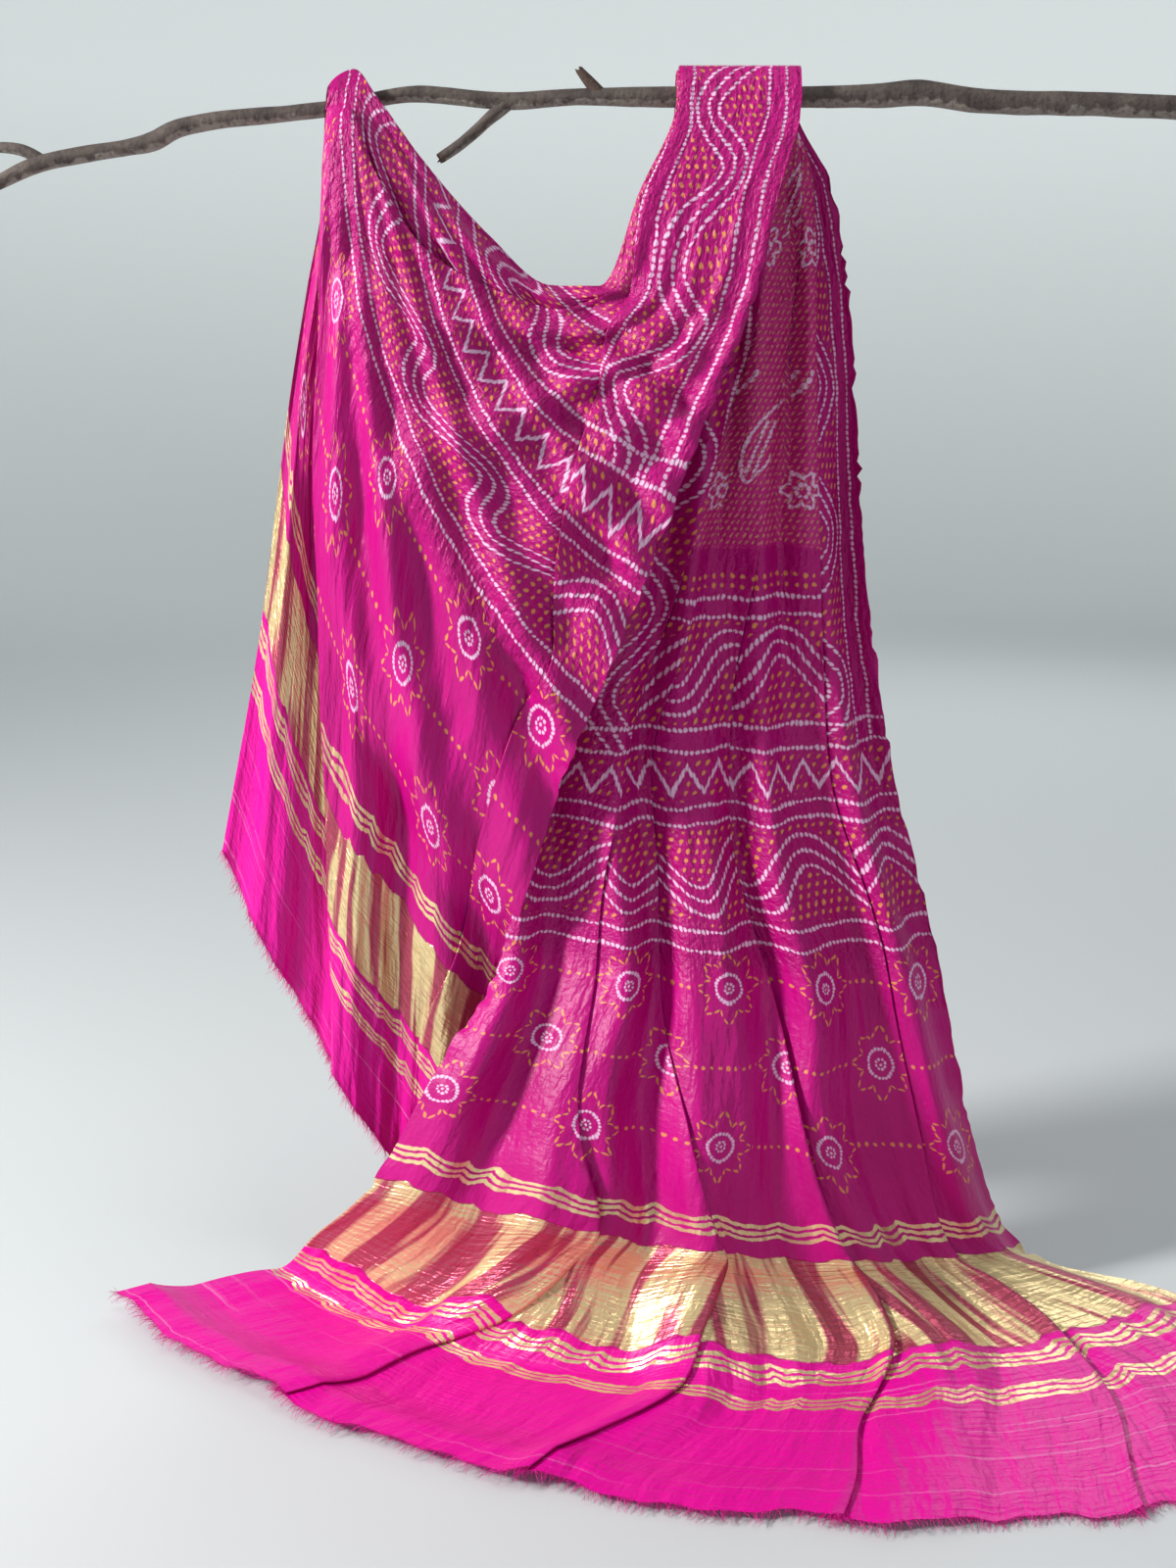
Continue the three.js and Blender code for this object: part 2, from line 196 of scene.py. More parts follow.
class Graph:
    """Builds the nodes of one material."""

    def __init__(self, name: str) -> None:
        """Makes the material with an empty tree."""
        self.material = bpy.data.materials.new(name)
        self.material.use_nodes = True
        self.tree = self.material.node_tree
        self.tree.nodes.clear()

    def node(
        self,
        kind: str,
        inputs: dict[int | str, "Value | float | tuple[float, ...]"] | None = None,
        output: int | str = 0,
        **settings: object,
    ) -> Value:
        """Adds any node.

        Args:
            kind: The node's type name.
            inputs: Socket name or number to a value, a constant or a tuple.
            output: Which output to return.
            settings: The node's own properties.

        Returns:
            The chosen output.
        """
        made = self.tree.nodes.new(kind)
        for key, setting in settings.items():
            setattr(made, key, setting)
        for key, given in (inputs or {}).items():
            socket = made.inputs[key]
            if isinstance(given, Value):
                self.tree.links.new(given.socket, socket)
            else:
                socket.default_value = given
        return Value(self, made.outputs[output])

    def math(self, operation: str, *values: Value | float, clamp: bool = False) -> Value:
        """Adds a maths node.

        Args:
            operation: The node's operation.
            values: Its inputs in order.
            clamp: Whether to keep the result from 0 to 1.

        Returns:
            The result.
        """
        inputs = dict(enumerate(values))
        return self.node("ShaderNodeMath", inputs, operation=operation, use_clamp=clamp)

    def mix(
        self,
        share: Value | float,
        first: Value | tuple[float, ...],
        second: Value | tuple[float, ...],
    ) -> Value:
        """Mixes two colours.

        Args:
            share: 0 for the first, 1 for the second.
            first: A colour.
            second: A colour.

        Returns:
            The mixed colour.
        """
        inputs = {0: share, 6: first, 7: second}
        return self.node("ShaderNodeMix", inputs, output=2, data_type="RGBA")

    def point(self, x: Value | float, y: Value | float, z: Value | float = 0.0) -> Value:
        """A vector from three parts."""
        return self.node("ShaderNodeCombineXYZ", {0: x, 1: y, 2: z})

    def noise(self, place: Value, scale: float, detail: float = 2.0) -> Value:
        """Soft noise, 0 to 1.

        Args:
            place: Where it is read.
            scale: Blobs a unit.
            detail: Octaves.

        Returns:
            The noise.
        """
        return self.node(
            "ShaderNodeTexNoise", {"Vector": place, "Scale": scale, "Detail": detail}
        )

    def bump(self, height: Value, distance: float, strength: float = 1.0) -> Value:
        """A bump normal from a height, which is 0 to 1 over a distance in metres."""
        inputs = {"Height": height, "Distance": distance, "Strength": strength}
        return self.node("ShaderNodeBump", inputs)

    def surface(self, shading: dict[int | str, "Value | float | tuple[float, ...]"]) -> None:
        """Ends the tree in one surface with these inputs."""
        shader = self.node("ShaderNodeBsdfPrincipled", shading)
        out = self.tree.nodes.new("ShaderNodeOutputMaterial")
        self.tree.links.new(shader.socket, out.inputs["Surface"])


@dataclass(frozen=True)
class SilkFinish:
    """Tie-dyed silk with woven metal bands. Distances in metres on the cut cloth.

    Rows are distances from the nearer end, sides distances from the nearer side edge.
    """

    magenta: tuple[float, ...] = srgb(214, 0, 143)
    deep: tuple[float, ...] = srgb(160, 0, 99)
    pink: tuple[float, ...] = srgb(230, 0, 156)
    field_pink: tuple[float, ...] = srgb(198, 34, 126)
    white: tuple[float, ...] = srgb(238, 200, 232)
    ochre: tuple[float, ...] = srgb(226, 152, 80)
    salmon: tuple[float, ...] = srgb(228, 140, 132)
    gold: tuple[float, ...] = srgb(244, 226, 166)
    rose: tuple[float, ...] = srgb(186, 84, 104)
    line_rows: tuple[float, ...] = (
        0.633, 0.6515, 0.7495, 0.765, 0.8145, 0.834, 0.9265, 0.942,
    )
    side_lines: tuple[float, ...] = (0.015, 0.035, 0.115, 0.135)
    side_from: float = 0.8145
    side_clear: float = 0.141
    wave_rows: tuple[float, float] = (0.7005, 0.880)
    wave_side: float = 0.075
    wave_height: float = 0.022
    wave_length: float = 0.128
    wave_gap: float = 0.0118
    wave_zone: float = 0.0385
    spot_zone: float = 0.043
    zigzag_row: float = 0.790
    zigzag_height: float = 0.0125
    zigzag_length: float = 0.030
    zigzag_zone: float = 0.0185
    suns_from: float = 0.405
    sun_row: float = 0.0765
    sun_step: float = 0.139
    sun_shift: float = 0.034
    lone_rows: tuple[float, ...] = (0.951, 0.959)
    stripes: tuple[float, ...] = (
        0.150, 0.157, 0.164, 0.191, 0.198, 0.205, 0.360, 0.3675, 0.375,
    )
    stripe_half: float = 0.0021
    band: tuple[float, float] = (0.217, 0.335)
    plain_until: float = 0.213
    tied_from: float = 0.61
    field_from: float = 0.985
    motif_at: tuple[float, float] = (0.80, 1.031)
    motif_cell: tuple[float, float] = (0.27, 0.20)
    knot: float = 0.00175
    pitch: float = 0.0047
    soft: float = 0.0005

    def dotted(self, away: Value, along: Value, pitch: float, size: Value | float) -> Value:
        """Knots in a line.

        Args:
            away: Distance from the line.
            along: Distance along it.
            pitch: From one knot to the next.
            size: Radius of a knot.

        Returns:
            The mask.
        """
        step = ((along / pitch).fraction() - 0.5) * pitch
        return (away * away + step * step).root().below(size, self.soft)

    def nearest(self, place: Value, rows: tuple[float, ...]) -> Value:
        """Distance to the nearest of some rows."""
        away = (place - rows[0]).size()
        for row in rows[1:]:
            away = away.least((place - row).size())
        return away

    def wave(self, across: Value, along: Value, middle: float) -> Value:
        """Signed distance from a wave.

        Args:
            across: The coordinate that the wave swings in.
            along: The coordinate that it runs in.
            middle: Its middle line.

        Returns:
            The distance.
        """
        turn = along * (2 * math.pi / self.wave_length)
        steep = turn.cosine() * (2 * math.pi * self.wave_height / self.wave_length)
        stretch = (steep * steep + 1.0).root()
        return (across - middle - turn.sine() * self.wave_height) / stretch

    def triple(self, away: Value, along: Value, size: Value) -> Value:
        """Three knotted lines side by side."""
        near = (away.size() - self.wave_gap).size().least(away.size())
        return self.dotted(near, along, self.pitch, size)

    def spots(self, u: Value, v: Value, grid: float, size: float) -> Value:
        """Staggered rows of single knots.

        Args:
            u: Distance across.
            v: Distance along.
            grid: From one knot to the next.
            size: Radius of a knot.

        Returns:
            The mask.
        """
        stagger = (v / grid).floor() * 0.5
        x = ((u / grid + stagger).fraction() - 0.5) * grid
        y = ((v / grid).fraction() - 0.5) * grid
        slant = x + y * 0.5
        return (slant * slant + y * y * 0.6).root().below(size, self.soft)

    def suns(self, g: Graph, u: Value, along: Value, size: Value) -> tuple[Value, Value]:
        """Suns in staggered rows, with a knotted line between them.

        Args:
            g: The graph.
            u: Distance across.
            along: Distance from the nearer end.
            size: Radius of a knot.

        Returns:
            The white mask and the ochre one.
        """
        row = ((along - self.suns_from) / self.sun_row).floor()
        dy = along - self.suns_from - (row + 0.5) * self.sun_row
        shifted = u + row * (self.sun_step / 2) + self.sun_shift
        dx = shifted - ((shifted / self.sun_step).floor() + 0.5) * self.sun_step
        reach = (dx * dx * 1.2 + dy * dy).root()
        turn = g.math("ARCTAN2", dy, dx)
        inside = along.within(self.suns_from, self.suns_from + 3 * self.sun_row, self.soft)
        ring = self.dotted((reach - 0.0142).size(), turn * 0.0142, 0.0037, size * 0.95)
        heart = self.dotted((reach - 0.0050).size(), turn * 0.0050, 0.0039, size * 0.8)
        heart = heart.most(reach.below(0.0014, self.soft))
        point = ((turn * (8 / (2 * math.pi))).fraction() - 0.5).size() * 2.0
        star = self.dotted((reach - 0.0225 - point * 0.013).size(), turn * 0.0275, 0.0054, size)
        links = self.dotted(dy.size(), u, 0.0085, size) * reach.above(0.039, 0.001)
        return ring.most(heart) * inside, star.most(links) * inside

    def motifs(self, g: Graph, u: Value, v: Value, size: Value) -> Value:
        """Flowers, leaves and triple arcs of the middle field.

        Args:
            g: The graph.
            u: Distance across.
            v: Distance along.
            size: Radius of a knot.

        Returns:
            The mask.
        """
        column = ((u - self.motif_at[0]) / self.motif_cell[0] + 0.5).floor()
        level = ((v - self.motif_at[1]) / self.motif_cell[1] + 0.5).floor()
        x = u - self.motif_at[0] - column * self.motif_cell[0]
        y = v - self.motif_at[1] - level * self.motif_cell[1]
        odd = (column * 0.5).fraction() * 2.0
        far = (x * x + y * y).root()
        angle = g.math("ARCTAN2", y, x)
        petals = (angle * 6.0).cosine() * 0.003 + 0.0135
        flower = self.dotted((far - petals).size(), angle * 0.0135, 0.0040, size * 1.15)
        flower = flower.most(self.dotted((far - 0.0052).size(), angle * 0.0052, 0.0041, size))
        x_arc, y_arc = x - 0.036, y - 0.119
        far_arc = (x_arc * x_arc + y_arc * y_arc).root()
        turn = g.math("ARCTAN2", y_arc, x_arc)
        arcs = self.dotted(
            self.nearest(far_arc, (0.024, 0.036, 0.048)), turn * 0.036, self.pitch, size * 1.2
        )
        y_leaf = y - 0.039
        x_leaf = x + y_leaf * 0.35
        width = (1.0 - y_leaf * y_leaf * (1 / 0.033**2)) * 0.016
        outline = self.dotted((x_leaf.size() - width).size(), y_leaf, 0.0040, size * 1.15)
        veins = self.dotted((x_leaf.size() - 0.004).size(), y_leaf, 0.0040, size)
        leaf = outline * y_leaf.within(-0.033, 0.033, self.soft)
        leaf = leaf.most(veins * y_leaf.within(-0.024, 0.020, self.soft))
        return flower.most(arcs) * (1.0 - odd) + leaf * odd

    def material(self) -> bpy.types.Material:
        """Builds the material.

        Returns:
            The material.
        """
        g = Graph("silk")
        uv = g.node("ShaderNodeUVMap", uv_map="cloth")
        parts = g.tree.nodes.new("ShaderNodeSeparateXYZ")
        g.tree.links.new(uv.socket, parts.inputs[0])
        u, v = Value(g, parts.outputs[0]), Value(g, parts.outputs[1])
        plain_u = u
        u = u + (g.noise(uv, 120.0, 1.0) - 0.5) * 0.0036
        v = v + (g.noise(uv, 150.0, 1.0) - 0.5) * 0.0036
        drift = (g.noise(uv, 18.0, 3.0) - 0.5) * 0.014
        size = (g.noise(uv, 75.0, 1.0) * 0.8 + 0.6) * self.knot
        across = u.least(CLOTH_WIDTH - u) + drift
        along = v.least(CLOTH_LENGTH - v) + drift

        # White knots.
        sided = along.above(self.side_from, self.soft)
        inner = across.above(self.side_clear, self.soft)
        in_field = along.above(self.field_from, 0.002) * inner
        rows = self.dotted(self.nearest(along, self.line_rows), u, self.pitch, size)
        rows = rows * (1.0 - along.above(0.90, self.soft) * (1.0 - inner))
        sides = self.dotted(self.nearest(across, self.side_lines), v, self.pitch, size) * sided
        low, high = self.wave_rows
        away_low = self.wave(along, u, low)
        away_high = self.wave(along, u, high)
        away_side = self.wave(across, v, self.wave_side)
        near_low = (along - low).size().below(self.wave_zone, self.soft)
        near_high = (along - high).size().below(self.wave_zone, self.soft) * inner
        near_side = (across - self.wave_side).size().below(self.wave_zone, self.soft) * sided
        waves = self.triple(away_low, u, size) * near_low
        waves = waves.most(self.triple(away_high, u, size) * near_high)
        waves = waves.most(self.triple(away_side, v, size) * near_side)
        saw = ((u / self.zigzag_length).fraction() - 0.5).size() * 4.0 - 1.0
        slope = 4 * self.zigzag_height / self.zigzag_length
        from_saw = (along - self.zigzag_row - saw * self.zigzag_height).size()
        from_saw = from_saw / math.sqrt(1 + slope * slope)
        in_zigzag = (along - self.zigzag_row).size().below(self.zigzag_zone, self.soft)
        zigzag = self.dotted(from_saw, u, 0.0034, size) * in_zigzag
        sun_white, sun_ochre = self.suns(g, u, along, size)
        motifs = self.motifs(g, u, v, size) * in_field
        white = rows.most(sides).most(waves).most(zigzag).most(sun_white).most(motifs)

        # Ochre knots.
        clear = self.wave_gap + 0.0062
        zones = away_low.size().above(clear, self.soft)
        zones = zones * (along - low).size().below(self.spot_zone, 0.001)
        high_zone = away_high.size().above(clear, self.soft) * inner
        high_zone = high_zone * (along - high).size().below(self.spot_zone, 0.001)
        side_zone = away_side.size().above(clear, self.soft) * sided
        side_zone = side_zone * (across - self.wave_side).size().below(0.035, 0.001)
        saw_zone = in_zigzag * from_saw.above(0.0058, self.soft)
        zones = zones.most(high_zone).most(side_zone).most(saw_zone)
        spots = self.spots(u, v, 0.0088, 0.0017) * zones
        lone = self.dotted(self.nearest(along, self.lone_rows), u, 0.0082, size) * inner
        ochre = spots.most(sun_ochre).most(lone)
        pips = self.spots(u, v, 0.0056, 0.0013) * in_field
        seeds = pips * (1.0 - motifs)

        # Woven metal, its rows drawn up in scallops.
        scallop = (u * (math.pi / 0.041) + g.noise(uv, 9.0, 1.0) * 7.0).sine().size() * 0.006
        rise = along + scallop * along.below(0.42, 0.01)
        stripe_mask = self.nearest(rise, self.stripes).below(self.stripe_half, 0.0004)
        band_mask = rise.within(self.band[0], self.band[1], 0.0006)
        metal = stripe_mask.most(band_mask)

        # Colours.
        plain_end = along.below(self.plain_until, 0.002)
        tied = along.above(self.tied_from, 0.01) * (1.0 - in_field)
        cloudy = g.noise(g.point(u, v * 0.6), 9.0, 3.0)
        ground = g.mix(cloudy, self.deep, self.magenta)
        ground = g.mix(plain_end * 0.85, ground, self.pink)
        ground = g.mix(tied * 0.4, ground, self.deep)
        ground = g.mix(in_field * 0.8, ground, self.field_pink)
        slub = g.noise(g.point(u * 2.0, v * 190.0), 1.0, 1.0).above(0.68, 0.04) * plain_end
        ground = g.mix(slub * 0.22, ground, self.white)
        # Gold and rose are the weave's own colours, but where each shows is painted sheen: the zari's
        # turn from gold to rose as it tilts to the light is set here as fixed streaks, with painted
        # gold rims along their edges.
        streaks = g.noise(g.point(plain_u * 42.0, v * 3.0), 1.0, 3.0)
        painted_sheen = streaks.above(0.49, 0.035)
        painted_sheen_rim = (streaks - 0.52).size().below(0.022, 0.012)
        woven = g.mix(painted_sheen * 0.92, self.rose, self.gold)
        woven = g.mix(painted_sheen_rim * 0.5, woven, self.gold)
        woven = g.mix(stripe_mask * 0.6, woven, self.gold)
        colour = g.mix(ochre * 0.9, ground, self.ochre)
        colour = g.mix(seeds * 0.8, colour, self.salmon)
        colour = g.mix(white * 0.92, colour, self.white)
        colour = g.mix(metal * 0.94, colour, woven)

        # Heights: field knots stand up, tied cloth is crinkled, and the weave is fine.
        knotted = along.above(0.36, 0.02)
        crinkle = g.noise(g.point(u, v), 190.0, 3.0)
        puckers = g.noise(g.point(u * 150.0, v * 34.0), 1.0, 2.0)
        gather = g.noise(g.point(u * 62.0, v * 14.0), 1.0, 3.0)
        ribs = g.noise(g.point(u * 30.0, v * 260.0), 1.0, 1.0)
        height = pips * 0.3
        height = height + crinkle * (tied * 0.55 + in_field * 0.6 + knotted * 0.15 + 0.06)
        height = height + puckers * (tied * 0.7 + in_field * 0.5 + 0.1)
        height = height + gather * (1.3 - tied * 0.3)
        height = height + ribs * (plain_end * 0.3 + band_mask * 0.5)
        normal = g.bump(height, 0.0034, 1.0)

        rough = 0.42 - metal * 0.06 + white * 0.2
        g.surface(
            {
                "Base Color": colour,
                "Roughness": rough,
                "Metallic": metal * 0.6,
                "Normal": normal,
                "Specular IOR Level": 0.3,
            }
        )
        return g.material


@dataclass(frozen=True)
class ThreadFinish:
    """Loose silk threads."""

    pink: tuple[float, ...] = srgb(222, 6, 150)
    roughness: float = 0.6

    def material(self) -> bpy.types.Material:
        """Builds the material."""
        g = Graph("thread")
        g.surface({"Base Color": self.pink, "Roughness": self.roughness})
        return g.material


@dataclass(frozen=True)
class BarkFinish:
    """Grey-brown bark with pale lichen on top and bare reddish wood where it is broken."""

    dark: tuple[float, ...] = srgb(58, 50, 48)
    mid: tuple[float, ...] = srgb(104, 92, 86)
    pale: tuple[float, ...] = srgb(150, 142, 132)
    wood: tuple[float, ...] = srgb(78, 60, 52)
    sawn: tuple[float, ...] = srgb(186, 160, 124)

    def material(self) -> bpy.types.Material:
        """Builds the material.

        Returns:
            The material.
        """
        g = Graph("bark")
        place = g.node("ShaderNodeTexCoord", output="Object")
        upper = g.node("ShaderNodeAttribute", output="Fac", attribute_name="upper")
        broken = g.node("ShaderNodeAttribute", output="Fac", attribute_name="broken")
        cut = g.node("ShaderNodeAttribute", output="Fac", attribute_name="cut")
        blotch = g.noise(place, 42.0, 4.0)
        grain = g.noise(place, 260.0, 3.0)
        crust = g.noise(place, 95.0, 4.0)
        colour = g.mix(blotch.above(0.5, 0.22), self.dark, self.mid)
        lichen = (upper * 0.5 + crust).above(0.78, 0.07)
        colour = g.mix(lichen * 0.75, colour, self.pale)
        colour = g.mix(grain.below(0.42, 0.08) * 0.5, colour, self.dark)
        colour = g.mix(broken, colour, self.wood)
        colour = g.mix(cut, colour, self.sawn)
        normal = g.bump(grain * 0.6 + crust, 0.0016)
        g.surface({"Base Color": colour, "Roughness": 0.86, "Normal": normal})
        return g.material


@dataclass(frozen=True)
class FloorFinish:
    """Pale paper on which the object stands."""

    colour: tuple[float, ...] = srgb(206, 211, 213)
    unlit: tuple[float, ...] = (0.0, 0.0, 0.0, 1.0)
    glow: tuple[float, ...] = (0.375, 0.402, 0.396, 1.0)
    glow_height: float = 1.9
    glow_depth: float = 4.5

    def material(self) -> bpy.types.Material:
        """Builds the material, which glows a little far behind the object and up: painted light
        standing in for the light on the far wall.

        Returns:
            The material.
        """
        g = Graph("paper")
        place = g.node("ShaderNodeTexCoord", output="Object")
        parts = g.tree.nodes.new("ShaderNodeSeparateXYZ")
        g.tree.links.new(place.socket, parts.inputs[0])
        y, z = Value(g, parts.outputs[1]), Value(g, parts.outputs[2])
        # Painted light: the paper glows more the higher it rises and the further behind the object it
        # is.
        behind = (y / self.glow_depth).most(0.25).least(1.0)
        up = (z / self.glow_height).most(0.0).least(1.0)
        share = behind * (up * 0.75 + (y / self.glow_depth).most(0.0).least(1.0) * 0.25)
        g.surface(
            {
                "Base Color": self.colour,
                "Roughness": 0.9,
                "Emission Color": g.mix(share, self.unlit, self.glow),
                "Emission Strength": 1.0,
            }
        )
        g.material.cycles.emission_sampling = "NONE"
        return g.material


@dataclass(frozen=True)
class Station:
    """One section of the draped cloth, in millimetres and degrees.

    v: distance along the cloth. right, left: the row's ends. bow: how far the row turns. face:
    where its outer side looks, from -180 (down) by -90 (back) and 0 (up) to 90 (front). roll:
    radius of the creases. climb: how far each pleat ends behind the one before. swell: how far the
    middle stands out. creases: shares of the row, odd ones on the left side.
    """

    v: float
    right: tuple[float, float, float]
    left: tuple[float, float, float]
    bow: float
    face: float
    roll: float
    climb: float
    swell: float
    creases: tuple[float, ...]

    def numbers(self) -> np.ndarray:
        """All that changes along the cloth, as one row of numbers."""
        rest = (self.bow, self.face, self.roll, self.climb, self.swell)
        return np.array([*self.right, *self.left, *rest, *self.creases])


# The sections of the cloth, from the end on the floor to the hanging end.
STATIONS = (
    Station(0, (610, -290, 1), (-418, -81, 1), 76, -180, 1.5, 0, 0,
            (0.2, 0.192, 0.4, 0.392, 0.6, 0.592, 0.8, 0.792, 1)),
    Station(150, (575, -130, 1), (-290, -25, 1), 80, -180, 3, 0, 0,
            (0.22, 0.185, 0.42, 0.385, 0.6, 0.565, 0.8, 0.765, 1)),
    Station(230, (520, -50, 2), (-245, -55, 52), 74, -170, 4, 0, -20,
            (0.23, 0.17, 0.43, 0.365, 0.61, 0.545, 0.8, 0.735, 1)),
    Station(320, (412, -14, 22), (-188, -95, 125), 34, -125, 5, 1, -80,
            (0.24, 0.15, 0.44, 0.34, 0.62, 0.52, 0.8, 0.7, 1)),
    Station(450, (350, -28, 146), (-135, -88, 228), 12, -100, 6, 2.5, -52,
            (0.25, 0.13, 0.48, 0.35, 0.7, 0.57, 0.87, 0.75, 1)),
    Station(616, (311, -20, 309), (-74, -54, 335), 6, -92, 6, 3.6, -28,
            (0.31, 0.14, 0.6, 0.42, 0.82, 0.65, 0.96, 0.8, 1)),
    Station(790, (266, 0, 475), (-55, -28, 480), 6, -90, 4, 3.6, -16,
            (0.42, 0.18, 0.74, 0.46, 0.94, 0.66, 1.0, 0.74, 1)),
    Station(980, (235, 18, 662), (-12, 0, 662), 0, -90, 2, 3.6, -8,
            (0.52, 0.16, 0.78, 0.38, 0.96, 0.54, 1.04, 0.62, 1)),
    Station(1150, (222, 26, 830), (30, 26, 830), 0, -90, 0.9, 3.6, 0,
            (0.64, 0.16, 0.82, 0.28, 0.94, 0.38, 1.0, 0.46, 1)),
    Station(1280, (200, 26, 958), (58, 26, 958), 0, -90, 0.9, 3.6, 0,
            (0.78, 0.1, 0.88, 0.18, 0.94, 0.26, 1.0, 0.32, 1)),
    Station(1530, (150, -36, 945), (39, -34, 945), -14, 90, 0.9, 3.6, 0,
            (0.96, 0.02, 1.0, 0.04, 1, 0.12, 0.95, 0.12, 0.9)),
    Station(1600, (133, -42, 868), (8, -33, 877), -42, 90, 0.9, 3.6, 3,
            (0.8, 0.02, 0.9, 0.12, 1, 0.2, 0.93, 0.2, 0.85)),
    Station(1650, (118, -47, 827), (-31, -33, 878), -66, 90, 0.9, 3.6, 6,
            (0.64, 0.04, 0.85, 0.25, 1, 0.3, 0.92, 0.3, 0.8)),
    Station(1720, (92, -56, 765), (-78, -35, 915), -74, 90, 1.5, 3.6, 12,
            (0.37, 0.05, 0.8, 0.52, 1, 0.45, 0.86, 0.42, 0.76)),
    Station(1820, (46, -74, 645), (-131, -36, 974), -62, 90, 3, 3.6, 20,
            (0.21, 0.05, 0.82, 0.76, 1, 0.6, 0.85, 0.54, 0.73)),
    Station(1890, (22, -86, 585), (-166, -30, 1021), -54, 90, 2, 3.6, 20,
            (0.14, 0.07, 0.88, 0.85, 1, 0.65, 0.84, 0.57, 0.72)),
    Station(1940, (2, -90, 540), (-187, -26, 1046), -50, 90, 1, 3.6, 18,
            (0.09, 0.06, 0.94, 0.92, 1, 0.68, 0.84, 0.58, 0.7)),
    Station(1985, (-15, -88, 500), (-205, -28, 1030), -48, 90, 1, 3.6, 18,
            (0.1, 0.06, 0.9, 0.87, 1, 0.68, 0.84, 0.56, 0.68)),
    Station(2060, (-38, -86, 428), (-212, -30, 945), -48, 90, 3, 3.6, 18,
            (0.11, 0.06, 0.83, 0.77, 1, 0.66, 0.8, 0.5, 0.62)),
    Station(2120, (-56, -78, 369), (-226, -31, 880), -45, 90, 4, 3.6, 18,
            (0.11, 0.06, 0.76, 0.69, 1, 0.64, 0.77, 0.47, 0.59)),
    Station(2200, (-68, -40, 297), (-244, -32, 790), -38, 90, 5, 3.6, 15,
            (0.12, 0.06, 0.69, 0.6, 1, 0.62, 0.74, 0.44, 0.56)),
    Station(2400, (-98, -38, 150), (-280, -32, 585), -25, 90, 6, 3.6, 10,
            (0.2, 0.1, 0.57, 0.43, 1, 0.55, 0.7, 0.36, 0.5)),
    Station(2580, (-112, -34, 16), (-320, -26, 404), -12, 90, 7, 3.6, 6,
            (0.22, 0.1, 0.51, 0.36, 1, 0.5, 0.66, 0.32, 0.46)),
)


def wrap_stations() -> list[Station]:
    """The sections round the branch, where all layers lie flat on it.

    Returns:
        Nine stations from facing back to facing front.
    """
    creases = (0.98, 0.03, 1, 0.02, 0.97, 0, 1, 0.04, 0.96)
    height, radius, right, left = 1023.0, 23.5, 168.0, 70.0
    stations = []
    for k in range(9):
        face = 22.5 * k - 90
        y = -radius * math.sin(math.radians(face))
        z = height + radius * math.cos(math.radians(face))
        v = 1345 + 10.0 * k
        stations.append(
            Station(v, (right, y, z), (left, y, z), 0, face, 0.9, 3.6, 0, creases)
        )
    return stations


